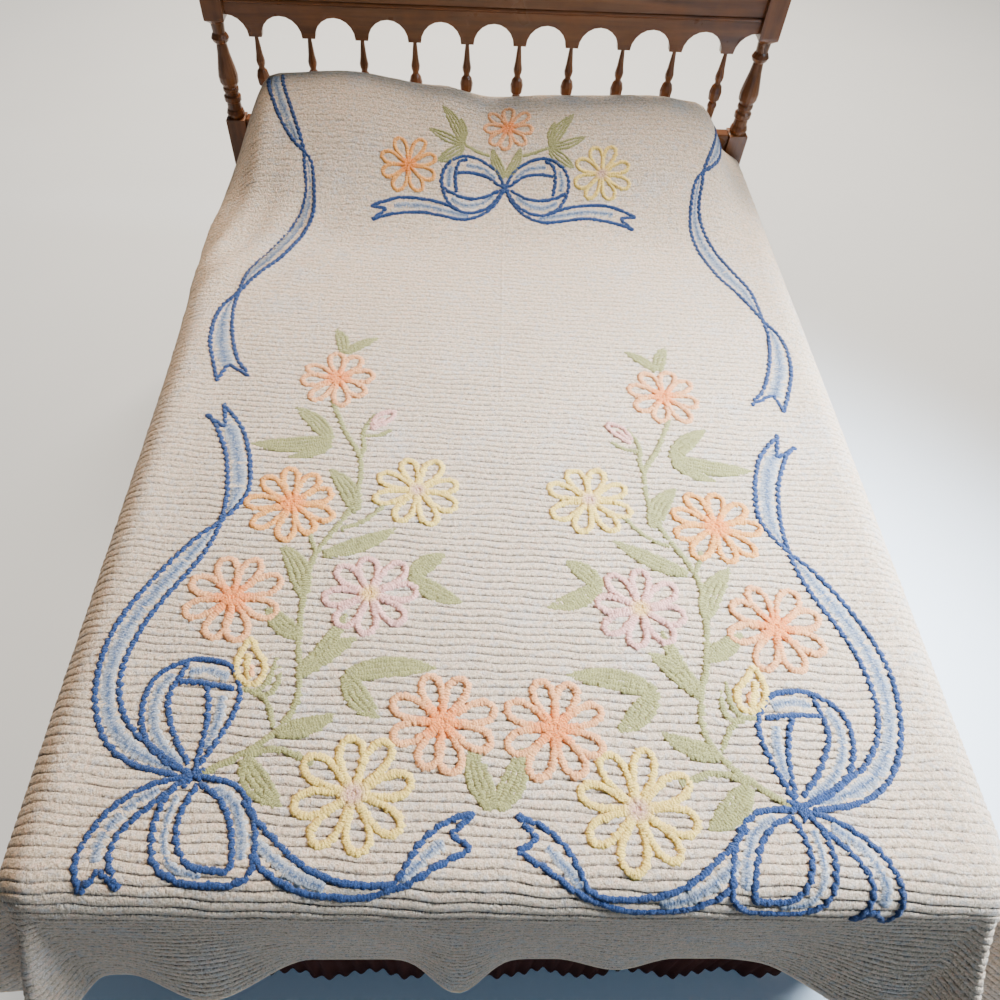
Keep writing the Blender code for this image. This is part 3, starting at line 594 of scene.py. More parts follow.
def crease(look, flat):
    """A faint fold line down the cloth's middle: 1 on the line, 0 away from it."""
    split = look.add("ShaderNodeSeparateXYZ", {"Vector": flat}).outputs
    line = look.math("MULTIPLY_ADD", split["Y"], CLOTH_TURN, split["X"])
    away = look.math("ABSOLUTE", look.math("SUBTRACT", line, CLOTH_TURN * TURN_FROM_HEAD))
    after = look.ramp(split["Y"], CREASE_FROM - 0.05, CREASE_FROM, 0.0, 1.0)
    before = look.ramp(split["Y"], CREASE_TO, CREASE_TO + 0.15, 1.0, 0.0)
    on_line = look.ramp(away, 0.0, CREASE_WIDTH, 1.0, 0.0)
    return look.math("MULTIPLY", on_line, look.math("MULTIPLY", after, before))


def row_material():
    """The cream ground: fuzzy rows, painted shade as dark uneven lines between them, faint dye marks."""
    look = Look("chenille_cream")
    flat = look.add("ShaderNodeUVMap").outputs["UV"]
    pile = look.noise(480.0, 3.0, 0.7, look.stretched(flat, (1.0, 0.38, 1.0)))
    strands, clumps = look.pile()
    tufts = look.noise(170.0, 2.0, 0.6)
    base = look.layers(
        look.mottled(CREAM, look.noise(4.5, 3.0, 0.55), 0.35, 0.65, 0.93, 1.05),
        (look.noise(9.0, 4.0, 0.6), 0.55, 0.70, 0.50, COOL_MARK),
        (look.noise(6.5, 3.0, 0.55), 0.58, 0.72, 0.30, WARM_MARK),
        (pile, 0.35, 0.70, 0.6, PILE_TIP),
        (clumps, 0.35, 0.8, 0.45, tinted(CREAM, 0.45)),
        (look.noise(150.0, 2.0, 0.7), 0.44, 0.62, 0.58, tinted(CREAM, 0.58)),
        (look.noise(92.0, 1.0), 0.54, 0.68, 0.38, COOL_FLECK),
        (look.noise(113.0, 1.0), 0.54, 0.68, 0.42, WARM_FLECK),
    )
    # Painted shade: darker where a row's relief is low, in uneven lines between the rows.
    ragged = look.math("MULTIPLY_ADD", tufts, 1.5, look.stored("ridge"))
    ragged = look.math("MULTIPLY_ADD", look.noise(420.0, 1.0), 1.7, ragged)
    base = look.mix(look.ramp(ragged, 1.66, 2.46, 0.94, 0.0), base, VALLEY_SHADE)
    look.bump(crease(look, flat), 0.0016, 1.0)
    look.bump(tufts, 0.0062, 0.8)
    look.bump(pile, 0.0026, 1.0)
    look.bump(strands, 0.0014, 0.8)
    return look.finish(base, 0.95, Sheen_Weight=0.15, Sheen_Roughness=0.6, Specular_IOR_Level=0.10)


def wood_material(name, colour, vertical=False, gloss=0.32):
    """Stained, varnished wood with a fine streaked grain."""
    look = Look(name)
    grain = look.stretched(look.place, (60.0, 60.0, 4.0) if vertical else (4.0, 60.0, 60.0))
    worn = look.noise(14.0, 3.0)
    shade = look.mottled(colour, look.noise(1.0, 4.0, 0.6, grain), 0.3, 0.7, 0.55, 1.35)
    shade = look.layers(shade, (worn, 0.5, 0.75, 0.4, tinted(colour, 1.9)))
    look.bump(look.noise(6.0, 3.0, 0.6, grain), 0.0006, 0.5)
    return look.finish(shade, look.ramp(worn, 0.3, 0.7, gloss - 0.06, gloss + 0.12),
                       Coat_Weight=0.12, Coat_Roughness=0.22, Specular_IOR_Level=0.35)


def cloth_material(name, colour, thread=900.0, sheen=0.15):
    """Plain woven cloth."""
    look = Look(name)
    weave = look.noise(thread, 2.0, 0.6)
    shade = look.mottled(colour, look.noise(9.0, 3.0), 0.35, 0.65, 0.85, 1.15)
    shade = look.layers(shade, (weave, 0.35, 0.7, 0.4, tinted(colour, 1.5)))
    look.bump(weave, 0.0008, 0.6)
    return look.finish(shade, 0.9, Sheen_Weight=sheen, Specular_IOR_Level=sheen)


def ticking_material(name, colour, stripe):
    """Striped cotton ticking."""
    look = Look(name)
    split = look.add("ShaderNodeSeparateXYZ", {"Vector": look.place}).outputs
    across = look.math("ADD", split["X"], split["Y"])
    stripes = look.math("SINE", look.math("MULTIPLY", across, 2 * math.pi / TICKING_PITCH))
    ground = look.mottled(colour, look.noise(7.0, 3.0), 0.35, 0.65, 0.9, 1.05)
    shade = look.layers(ground, (stripes, 0.80, 0.92, 0.85, stripe))
    look.bump(look.noise(800.0, 2.0, 0.6), 0.0008, 0.6)
    return look.finish(shade, 0.9)


def steel_material(name, dark, light):
    """Brushed zinc-plated steel."""
    look = Look(name)
    grain = look.noise(300.0, 3.0, 0.6)
    shade = look.mix(look.ramp(look.noise(40.0, 3.0, 0.6), 0.3, 0.7, 0.0, 1.0), dark, light)
    look.bump(grain, 0.0004, 0.4)
    return look.finish(shade, look.ramp(grain, 0.3, 0.7, 0.3, 0.5), Metallic=0.9)


# --- the bedspread's rows ------------------------------------------------------------------------
def row_turn(t):
    """Rise over run of the rows: almost square to the bed on the pillows, turned below them."""
    settled = smoothstep((t - 0.2) / 0.8)
    fade = smoothstep(t / HEM_FADE) * smoothstep((cloth.length - t) / HEM_FADE)
    return (ROW_TURN_HEAD + (ROW_TURN_FOOT - ROW_TURN_HEAD) * settled) * fade


def wander(u, row):
    """Slow, hand-guided wandering of a tufted row."""
    slow = np.sin(9.0 * u + 0.17 * row + 1.3) + 0.7 * np.sin(23.0 * u - 0.27 * row + 0.4)
    quick = 0.50 * np.sin(47.0 * u + 0.43 * row) + 0.38 * np.sin(83.0 * u - 0.71 * row + 2.0)
    return ROW_WANDER * (0.5 * slow + quick)


def row_relief(u, t):
    """How deep the rows are: nearly flat on the pillows, full below the middle, softer at the sides."""
    settled = smoothstep((t - ROW_FAINT_UNTIL) / (ROW_FULL_FROM - ROW_FAINT_UNTIL))
    beside = smoothstep((np.abs(u) - ROW_SIDE_FROM) / ROW_SIDE_REACH)
    return (ROW_FAINT + (1 - ROW_FAINT) * settled) * (1 - ROW_SIDE_LOSS * beside)


def spread_columns():
    """Distances from the middle of the cloth, closer together where it bends and hangs."""
    inner = np.arange(0.0, ROW_INNER_TO, ROW_COLUMN)
    edge = np.arange(inner[-1] + ROW_EDGE_COLUMN, ROW_EDGE_TO, ROW_EDGE_COLUMN)
    drop = np.linspace(edge[-1], SPREAD_WIDTH / 2, ROW_DROP_COLUMNS)[1:]
    half = np.concatenate([inner, edge, drop])
    return np.concatenate([-half[:0:-1], half])


def add_bedspread():
    columns = spread_columns()
    rows, heights, ridges = [], [], []
    count = int(cloth.length / ROW_PITCH)
    pitch = cloth.length / count
    for row in range(count):
        jag = rng.normal(0.0, ROW_JAG, len(columns))
        crest = 1.0 + ROW_CREST_UNEVEN * rng.normal(0.0, 1.0, len(columns))
        for phase, height in ROW_PROFILE:
            t = (row + phase) * pitch
            edge = smoothstep(t / ROW_EDGE) * smoothstep((cloth.length - t) / ROW_EDGE)
            sway = wander(columns, row + phase) + jag * (1.0 if phase == 0.0 else 0.4)
            rows.append(np.clip(t + row_turn(t) * columns + edge * sway, 0.0, cloth.length))
            ridges.append(1 - row_relief(columns, t) * (1 - height))
            heights.append(ROW_VALLEY + ROW_RISE * ridges[-1] * crest)
    rows.append(np.full(len(columns), cloth.length))
    heights.append(np.full(len(columns), ROW_VALLEY))
    ridges.append(np.zeros(len(columns)))
    t = np.array(rows)
    u = np.broadcast_to(columns, t.shape)
    points = cloth.at(u, t, np.array(heights)).reshape(-1, 3)
    item = add_mesh("bedspread_rows", points, grid_faces(len(t), len(columns)), row_material())
    store(item, "ridge", ridges)
    corners = np.zeros(len(item.data.loops), dtype=np.int32)
    item.data.loops.foreach_get("vertex_index", corners)
    flat = item.data.uv_layers.new(name="UVMap")
    places = np.stack([u.ravel(), t.ravel()], 1)[corners]
    flat.data.foreach_set("uv", places.ravel().astype(np.float32))
    return item


def add_backing():
    """The cloth's plain underside."""
    u, t = np.meshgrid(np.linspace(-SPREAD_WIDTH / 2, SPREAD_WIDTH / 2, 121),
                       np.linspace(0.0, cloth.length, 141))
    points = cloth.at(u, t, 0.0004).reshape(-1, 3)
    material = cloth_material("ground_cloth", tinted(CREAM, 0.9))
    return add_mesh("bedspread_underside", points, grid_faces(*u.shape, flip=True), material)


def add_hem():
    """A narrow rolled hem all round."""
    w, l = SPREAD_WIDTH / 2, cloth.length
    corners = np.array([(-w, 0.0), (-w, l), (w, l), (w, 0.0), (-w, 0.0)])
    path = []
    for start, end in zip(corners, corners[1:]):
        count = max(2, round(math.dist(start, end) / HEM_STEP))
        path += [start + (end - start) * (index / count) for index in range(count)]
    u, t = np.array(path).T
    centre = cloth.at(u, t, HEM_MIDDLE)
    over = unit(cloth.at(u, t, HEM_MIDDLE + 0.01) - centre)
    side = unit(np.cross(over, np.roll(centre, -1, 0) - np.roll(centre, 1, 0)))
    material = cloth_material("hem_cloth", tinted(CREAM, 1.05))
    return add_cord("bedspread_hem", centre, side, over, HEM_RADIUS, 6, material)


# --- tufted lines --------------------------------------------------------------------------------
def smooth_path(controls, step):
    """A curve through control points (any number of columns), sampled about every step."""
    points = np.array(controls, float)
    points = np.vstack([2 * points[0] - points[1], points, 2 * points[-1] - points[-2]])
    out = []
    for a, b, c, d in zip(points, points[1:], points[2:], points[3:]):
        count = max(2, int(np.linalg.norm((c - b)[:2]) / step))
        for s in np.linspace(0.0, 1.0, count, endpoint=False):
            out.append(0.5 * (2 * b + (c - a) * s + (2 * a - 5 * b + 4 * c - d) * s * s
                              + (3 * b - a - 3 * c + d) * s ** 3))
    out.append(points[-2])
    return np.array(out)


def evenly(path, step):
    """The same line, sampled at even steps."""
    steps = np.linalg.norm(np.diff(path, axis=0), axis=1)
    runs = np.concatenate([[0.0], np.cumsum(steps)])
    spots = np.linspace(0.0, runs[-1], max(3, int(runs[-1] / step) + 1))
    return np.stack([np.interp(spots, runs, path[:, k]) for k in range(path.shape[1])], 1)


def offset_line(path, distance):
    """A line beside a path, at a distance that may change along it."""
    ahead = np.gradient(path[:, :2], axis=0)
    ahead /= np.linalg.norm(ahead, axis=1, keepdims=True) + 1e-12
    across = np.stack([ahead[:, 1], -ahead[:, 0]], 1)
    return path[:, :2] + across * np.asarray(distance)[:, None]


def on_spread(pattern):
    """Places on the flat cloth for places in the pattern: it lies slightly turned on the bed."""
    a, b = pattern[:, 0], pattern[:, 1]
    shifted = PATTERN_SHIFT * np.exp(-((b - PATTERN_SHIFT_AT) / PATTERN_SHIFT_REACH) ** 2)
    return a - CLOTH_TURN * (b - TURN_FROM_HEAD) + shifted, b + row_turn(b) * a


class Tufts:
    """All the tufted lines of one dye, gathered into one mesh."""

    def __init__(self, name, colour, width, top, beaded=False, **look):
        self.name = name
        self.colour = colour
        self.width = width
        self.top = top
        self.beaded = beaded
        self.look = look
        self.points, self.faces = [], []
        self.hearts, self.runs, self.flanks = [], [], []
        self.total = 0

    def line(self, pattern, width=None, heart=None, taper=0.0):
        """A line of pile along a path in the pattern, broken a little where it crosses the rows."""
        path = evenly(np.asarray(pattern, float), TUFT_STEP)
        if width is None:
            width = path[:, 2] if path.shape[1] > 2 else self.width
        path = path[:, :2]
        count = len(path)
        run = np.arange(count) * TUFT_STEP
        row = path[:, 1] / ROW_PITCH
        row = row + wander(path[:, 0], row) / ROW_PITCH
        crossing = np.clip(np.abs(np.gradient(row)) * ROW_PITCH / TUFT_STEP, 0.0, 1.0)
        gap = (row - np.floor(row)) - 0.5
        between = np.exp(-((0.5 - np.abs(gap)) / 0.11) ** 2) * crossing
        dip, shift, fuzz = BEADED if self.beaded else EVEN
        swell = 1 - dip * between + rng.normal(0.0, TUFT_UNEVEN, count)
        ends = np.minimum(1.0, np.sqrt((np.minimum(run, run[-1] - run) + 0.0012) / 0.004))
        ends *= 1 - taper * smoothstep((run / run[-1] - 0.62) / 0.38)
        radius = width / 2 * swell * ends
        stray = rng.normal(0.0, TUFT_STRAY, count)
        path = offset_line(path, shift * 2 * gap * crossing + stray)
        u, t = on_spread(path)
        foot = cloth.at(u, t, TUFT_FOOT)
        over = unit(cloth.at(u, t, TUFT_FOOT + 0.01) - foot)
        side = np.cross(np.gradient(foot, axis=0), over)
        side /= np.linalg.norm(side, axis=1, keepdims=True) + 1e-12
        high = (self.top - TUFT_FOOT) * (0.55 + 0.45 * swell) * ends
        near = np.zeros(count)
        if heart is not None:
            away = np.linalg.norm(path - heart[0], axis=1)
            near = 1 - smoothstep((away - 0.4 * heart[1]) / heart[1])
        sharpness = 1.3 if "edge" in self.look else 3.0
        for angle in TUFT_ANGLES:
            rough = 1 + rng.normal(0.0, fuzz, count)
            self.points.append(foot + side * (radius * rough * math.sin(angle))[:, None]
                               + over * (high * rough * math.cos(angle))[:, None])
            # how far down the line's side each ring lies: the material paints shade there; on the pale
            # blue it lays its paler edge dye there instead
            self.flanks.append(np.full(count, abs(math.sin(angle / 1.25)) ** sharpness))
        facets = len(TUFT_ANGLES)
        for facet in range(facets - 1):
            first = self.total + facet * count
            for a in range(first, first + count - 1):
                self.faces.append((a, a + count, a + count + 1, a + 1))
        self.hearts += [near] * facets
        self.runs += [run + rng.uniform(0.0, PILE_PITCH)] * facets
        self.total += count * facets

    def finish(self):
        material = tuft_material(self.name + "_dye_and_shade", self.colour, **self.look)
        item = add_mesh(self.name, np.concatenate(self.points), self.faces, material)
        store(item, "heart", self.hearts)
        store(item, "run", self.runs)
        store(item, "flank", self.flanks)
        return item


# --- bed skirt -----------------------------------------------------------------------------------
def skirt_outline(step):
    """Points and outward directions, from the head's left end round the foot to the right end."""
    half = HALF_BED - SKIRT_INSET
    foot = MATTRESS_FOOT + SKIRT_INSET
    inner, turn = half - SKIRT_CORNER, foot + SKIRT_CORNER
    arc = SKIRT_CORNER * math.pi / 2
    left = MATTRESS_HEAD - turn
    across = left + arc
    right = across + 2 * inner
    total = right + arc + left
    runs = np.linspace(0.0, total, round(total / step) + 1)

    def corner(x, angle):
        ahead, over = math.cos(angle), math.sin(angle)
        return x + SKIRT_CORNER * ahead, turn + SKIRT_CORNER * over, ahead, over

    out = []
    for run in runs:
        if run < left:
            out.append((-half, MATTRESS_HEAD - run, -1.0, 0.0))
        elif run < across:
            out.append(corner(-inner, math.pi + (run - left) / SKIRT_CORNER))
        elif run < right:
            out.append((-inner + run - across, foot, 0.0, -1.0))
        elif run < right + arc:
            out.append(corner(inner, 1.5 * math.pi + (run - right) / SKIRT_CORNER))
        else:
            out.append((half, turn + run - right - arc, 1.0, 0.0))
    return np.array(out), runs


def add_skirt(material):
    """The gathered drop: broad pleats that open downwards, and fine gathers on them."""
    outline, run = skirt_outline(SKIRT_STEP)
    top = BOX_TOP + 0.0006
    wave = 0.5 + 0.5 * np.sin(2 * math.pi * run / SKIRT_PLEAT + 0.8 * np.sin(run / 0.32))
    phase = 2 * math.pi * run / GATHER_PITCH + 1.7 * np.sin(run / 0.11)
    phase += 0.9 * np.sin(run / 0.043 + 1.0)
    rows = []
    for depth in SKIRT_DEPTHS:
        gather = GATHER_REACH * (0.35 + 0.65 * min(1.0, depth * 2.5)) * min(1.0, 0.25 + 4 * depth)
        ripple = gather * (np.sin(phase + 0.6 * depth) + 0.35 * np.sin(0.37 * phase + 2.0 * depth))
        hem = 0.0012 if depth > 0.95 else 0.0
        out = depth ** 2 * (SKIRT_REACH * wave + SKIRT_SPREAD) + ripple - 0.0008 + hem
        level = np.full(len(run), top - depth * (top - SKIRT_FLOOR_GAP))
        place = outline[:, :2] + out[:, None] * outline[:, 2:] + (BED_SHIFT, 0.0)
        rows.append(np.column_stack([place, level]) + BED_ORIGIN)
    faces = grid_faces(len(rows), len(run))
    return thicken(add_mesh("skirt_drop", np.concatenate(rows), faces, material), 0.0012)


def add_skirt_deck(material):
    """The plain sheet between the mattress and the box spring that the drop is sewn to."""
    half = HALF_BED - DECK_INSET
    x, y = np.meshgrid(np.linspace(-half, half, 29),
                       np.linspace(MATTRESS_HEAD, MATTRESS_FOOT + DECK_INSET, 39))
    points = np.stack([x + BED_SHIFT, y, np.full(x.shape, BOX_TOP + 0.0012)], 2)
    points = points.reshape(-1, 3) + BED_ORIGIN
    return thicken(add_mesh("skirt_deck", points, grid_faces(*x.shape), material), 0.0008)


# --- mattress and box spring ---------------------------------------------------------------------
def rounded_outline(inner, radius, arc, straights=(0, 0)):
    """Places round a rectangle with round corners: points in each arc, and on each straight."""
    arcs = []
    for quarter, (sx, sy) in enumerate(((1, 1), (-1, 1), (-1, -1), (1, -1))):
        angles = np.linspace(quarter * math.pi / 2, (quarter + 1) * math.pi / 2, arc)
        arcs.append(np.stack([sx * inner[0] + radius * np.cos(angles),
                              sy * inner[1] + radius * np.sin(angles)], 1))
    parts = []
    for quarter in range(4):
        end, target = arcs[quarter][-1], arcs[(quarter + 1) % 4][0]
        share = np.linspace(0.0, 1.0, straights[quarter % 2] + 1)[1:-1, None]
        parts += [arcs[quarter], end + (target - end) * share]
    return np.concatenate(parts)


def rounded_block(name, low, high, plan_radius, edge, crown, material):
    """A padded block: rounded in plan, soft at its top and bottom edges, with crowned sides."""
    centre, half = (low + high) / 2, (high - low) / 2
    straights = [round(2 * reach / BLOCK_CELL) for reach in half[:2]]
    outline = rounded_outline(half[:2] - plan_radius, plan_radius, 7, straights)
    turn = np.linspace(math.pi / 2, 0.0, 7)
    over = np.stack([edge * (1 - np.cos(turn)), half[2] - edge * (1 - np.sin(turn))], 1)
    share = np.linspace(0.0, 1.0, 9)[1:-1]
    wall = np.stack([-crown * np.sin(math.pi * share), (half[2] - edge) * (1 - 2 * share)], 1)
    rows = []
    for inset, level in (*over, *wall, *(over[::-1] * (1, -1))):
        factor = (half[:2] - max(inset + crown, 0.0)) / half[:2]
        rows.append(np.column_stack([outline * factor, np.full(len(outline), level)]))
    ring = len(outline)
    faces = grid_faces(len(rows), ring, closed=True)
    points = rows[:]
    for rim, level, flip in ((0, half[2], False), (len(rows) - 1, -half[2], True)):
        before = rim * ring
        for shrink in np.linspace(0.94, 0.06, 16):
            start = len(points) * ring
            points.append(np.column_stack([rows[rim][:, :2] * shrink, np.full(ring, level)]))
            for index in range(ring):
                after = (index + 1) % ring
                quad = (before + index, before + after, start + after, start + index)
                faces.append(quad[::-1] if flip else quad)
            before = start
        middle = tuple(range(before, before + ring))
        faces.append(middle[::-1] if flip else middle)
    return add_mesh(name, np.concatenate(points) + centre + BED_ORIGIN, faces, material)


def tape_edge(name, low, high, plan_radius, level, radius, material):
    """The bound edge, a thin cord round the block."""
    centre, half = (low + high) / 2, (high - low) / 2
    line = rounded_outline(half[:2] - plan_radius, plan_radius, 10) + centre[:2]
    line = np.column_stack([line, np.full(len(line), level)])
    line = evenly(np.array([*line, line[0]]) + BED_ORIGIN, 0.02)[:-1]
    up = np.broadcast_to([0.0, 0.0, 1.0], line.shape)
    side = unit(np.cross(np.roll(line, -1, 0) - np.roll(line, 1, 0), up))
    return add_cord(name, line, side, up, radius, 8, material)


# --- pillows -------------------------------------------------------------------------------------
def add_pillow(name, x_middle, material, lag):
    """A stuffed pillow in its case: pulled in between its corners, sewn round its middle."""
    y_middle = MATTRESS_HEAD - PILLOW_FROM_HEAD - PILLOW_DEPTH / 2
    count = PILLOW_CELLS + 1
    ss, qq = np.meshgrid(np.linspace(-1.0, 1.0, count), np.linspace(-1.0, 1.0, count))

    def across(along, beside):
        """Along the pillow from its middle: rounded at its corners, pulled in between them."""
        return along * np.sqrt(1 - 0.12 * beside ** 2) * (1 - 0.05 * (1 - beside ** 2) * along ** 2)

    x = x_middle + PILLOW_WIDTH / 2 * across(ss, qq)
    y = y_middle + PILLOW_DEPTH / 2 * across(qq, ss)
    order = np.argsort(cloth.line_y)
    share = np.interp(y, cloth.line_y[order], cloth.line_share[order])
    room = np.maximum(pillow_height(x, share) - PILLOW_GAP, 0.03)
    swell = ((1 - ss ** 2) * (1 - qq ** 2)) ** 0.42
    seam = 0.36 * room
    ripples = 0.0016 * np.sin(34 * ss + 9 * qq + lag) * (1 - swell) * 2
    top = seam + (room - seam) * swell + ripples - 0.001
    bottom = np.minimum(np.maximum(seam * (1 - swell * 1.9), 0.0) + 0.0006, top - 0.001)
    points = [np.stack([x + BED_SHIFT, y, MATTRESS_TOP + level], 2).reshape(-1, 3)
              for level in (top, bottom)]
    below = [[i + count * count for i in quad] for quad in grid_faces(count, count, flip=True)]
    faces = grid_faces(count, count) + below
    made = add_mesh(name, np.concatenate(points) + BED_ORIGIN, faces, material)
    shape = bmesh.new()
    shape.from_mesh(made.data)
    bmesh.ops.remove_doubles(shape, verts=shape.verts, dist=0.0011)
    bmesh.ops.recalc_face_normals(shape, faces=shape.faces)
    shape.to_mesh(made.data)
    shape.free()
    return made


# --- the bed's own pieces ------------------------------------------------------------------------
def block_corners(node_name, top_trim):
    low, high = (np.array(corner) - BED_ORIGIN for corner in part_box(node_name))
    high[2] -= top_trim
    return low, high


rows_piece = add_bedspread()
backing = add_backing()
hem = add_hem()

brown = cloth_material("skirt_cloth", BROWN, thread=700.0, sheen=0.02)
skirt = add_skirt(brown)
deck = add_skirt_deck(brown)

ticking = ticking_material("ticking_stripe", TICKING, TICKING_STRIPE)
tape = cloth_material("edge_tape", TAPE)
mattress_low, mattress_high = block_corners("mattress", 0.0008)
mattress = rounded_block("mattress_cover", mattress_low, mattress_high, plan_radius=0.060,
                         edge=0.042, crown=0.004, material=ticking)
box_low, box_high = block_corners("box_spring", 0.0006)
box_spring = rounded_block("box_spring_cover", box_low, box_high, plan_radius=0.030,
                           edge=0.014, crown=0.003, material=ticking)
tapes = [
    tape_edge("mattress_tape_low", mattress_low, mattress_high, plan_radius=0.055,
              level=mattress_low[2] + 0.020, radius=0.004, material=tape),
    tape_edge("box_spring_tape", box_low, box_high, plan_radius=0.030,
              level=box_high[2] - 0.014, radius=0.003, material=tape),
]

linen = cloth_material("pillow_case", LINEN, thread=800.0)
pillows = [
    add_pillow("pillow_case_left", x_middle=-0.300, material=linen, lag=0.4),
    add_pillow("pillow_case_right", x_middle=0.300, material=linen, lag=2.1),
]

for material, names in (
    (wood_material("dark_wood_across", DARK_WOOD),
     ["headboard_" + part for part in ("apron", "bead", "cap", "lower_rail", "top_board")]),
    (wood_material("dark_wood_upright", DARK_WOOD, vertical=True),
     ["headboard_post_left", "headboard_post_right", *(f"spindle_{i:02d}" for i in range(1, 11))]),
    (wood_material("frame_wood_across", PALE_WOOD, gloss=0.5),
     ["side_rail_left", "side_rail_right", *(f"slat_{i}" for i in range(1, 5))]),
    (wood_material("frame_wood_upright", PALE_WOOD, vertical=True, gloss=0.5),
     ["foot_leg_left", "foot_leg_right"]),
    (steel_material("bracket_steel", STEEL_DARK, STEEL_LIGHT),
     ["headboard_bracket_left", "headboard_bracket_right"]),
):
    for node_name in names:
        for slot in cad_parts[node_name].material_slots:
            slot.material = material

# --- the pattern ---------------------------------------------------------------------------------
# Places are (a, b): a out from the pattern's middle line, b down from the head hem. Everything but
# the head's three flowers is drawn on both sides. The tables are in millimetres.
OUTLINE_WIDTH = 0.0108
FILL_WIDTH = 0.0200
STEM_WIDTH = 0.0135
PETAL_TOP = 0.0078          # over the cloth's underside
PETAL_WIDTH = 0.0135
PETAL_START = 0.003         # from the flower's middle
PETAL_ROOM = 0.86           # the share of the ring that the petals take up
PETAL_NARROW = 0.62
PETAL_TURN_UNEVEN = 0.05    # in radians; the next two are shares
PETAL_LENGTH_UNEVEN = 0.035
PETAL_WIDTH_UNEVEN = 0.03
HEAD_PETAL = 0.0112
GREEN_WIDTH = 0.0130
HEAD_GREEN = 0.0086
LEAF_LANE = 0.0100          # between the tufted lines that fill a leaf
FILL_FROM = 0.0065          # the half width from which a ribbon has a pale middle
SHORT_STEP = 0.004          # along short strokes

blue = Tufts("tufts_dark_blue", DARK_BLUE, OUTLINE_WIDTH, top=0.0074, beaded=True)
pale = Tufts("tufts_pale_blue", LIGHT_BLUE, FILL_WIDTH, top=0.0060,
             mottle=PALE_EDGE, edge=PALE_EDGE)
green = Tufts("tufts_green", GREEN, STEM_WIDTH, top=0.0066, flank_shade=0.76)
orange = Tufts("tufts_orange", ORANGE, PETAL_WIDTH, PETAL_TOP, heart=HEART_ORANGE)
peach = Tufts("tufts_peach", PEACH, PETAL_WIDTH, PETAL_TOP, heart=HEART_ORANGE)
yellow = Tufts("tufts_yellow", YELLOW, PETAL_WIDTH, PETAL_TOP, heart=HEART_PINK)
pink = Tufts("tufts_pink", PINK, PETAL_WIDTH, PETAL_TOP, heart=HEART_YELLOW)


def on_side(places, side):
    """Places in millimetres, put on one side and turned into metres."""
    placed = np.array(places, float) / 1000
    placed[:, 0] *= side
    return placed


def draw(strokes, side):
    """Tufted lines on one side."""
    for stroke in strokes:
        draw_one(side, *stroke)


def draw_one(side, dye, places, width=None, step=0.005, taper=0.0):
    """One tufted line through places; the width, if not the dye's own, is in millimetres."""
    width = None if width is None else width / 1000
    dye.line(smooth_path(on_side(places, side), step), width, taper=taper)


def fork(first, second, notch):
    """The swallow-tail end of a ribbon, as strokes."""
    return [(blue, (tip, notch), None, SHORT_STEP) for tip in (first, second)]


def ribbon(centre, side, fill_from=0, fill_short=0):
    """A ribbon along a centre line (a, b, half width): two dark edges and a pale blue middle."""
    path = smooth_path(on_side(centre, side), 0.006)
    half = path[:, 2]
    blue.line(offset_line(path, half))
    blue.line(offset_line(path, -half))
    wide = np.abs(half) > FILL_FROM
    changes = np.flatnonzero(np.diff(np.concatenate([[0], wide, [0]])))
    for start, stop in changes.reshape(-1, 2):
        start, stop = max(start, fill_from), min(stop, len(path) - fill_short)
        if stop - start > 5:
            fill = path[start:stop].copy()
            fill[:, 2] = 2 * np.abs(fill[:, 2]) - OUTLINE_WIDTH * 0.7
            pale.line(fill)


def daisy(side, dye, place, radius, petals, start, heart, line=PETAL_WIDTH):
    """A flower of looped petals that meet in the middle, darker within the heart's radius."""
    centre = np.array([place[0] * side, place[1]]) / 1000
    radius, heart = radius / 1000, (centre, heart / 1000)
    s = np.linspace(0.0, 1.0, 60)
    for index in range(petals):
        turn = math.radians(start + 360.0 * index / petals) + rng.normal(0.0, PETAL_TURN_UNEVEN)
        length = (radius - line / 2) * (1 + rng.normal(0.0, PETAL_LENGTH_UNEVEN))
        room = PETAL_ROOM * math.pi * radius / petals
        half = room * (PETAL_NARROW + rng.normal(0.0, PETAL_WIDTH_UNEVEN))
        along = PETAL_START + (length - PETAL_START) * (1 - np.cos(2 * math.pi * s)) / 2
        across = half * 1.25 * np.sin(2 * math.pi * s) * (along / length) ** 0.75
        across += 0.0025 * np.sin(math.pi * s)
        x = along * math.cos(turn) - across * math.sin(turn)
        y = along * math.sin(turn) + across * math.cos(turn)
        dye.line(np.stack([centre[0] + side * x, centre[1] + y], 1), line, heart)
    dot = centre + np.array([[-0.004, 0.0], [0.0, 0.001], [0.004, 0.0]])
    dye.line(dot, line, heart)


def leaf(side, base, tip, width, bend, line=GREEN_WIDTH):
    """A leaf filled with tufted lines side by side, a dip between each two, darkened by painted shade on
    the lines' flanks.
    """
    base, tip = on_side([base, tip], side)
    axis = tip - base
    length = np.linalg.norm(axis)
    ahead = axis / length
    across = np.array([ahead[1], -ahead[0]]) * side
    s = np.linspace(0.0, 1.0, 40)
    middle = base + np.outer(s, axis) + np.outer(bend * length * np.sin(math.pi * s), across)
    spread = (width / 1000 - line) / 2
    for lane in np.linspace(-1.0, 1.0, 1 + math.ceil(2 * spread / LEAF_LANE)):
        bow = lane * spread * np.sin(math.pi * s ** 0.80) ** 0.80
        end = len(s) if abs(lane) < 0.5 else len(s) - 2
        green.line((middle + np.outer(bow, across))[:end], line, taper=0.30)


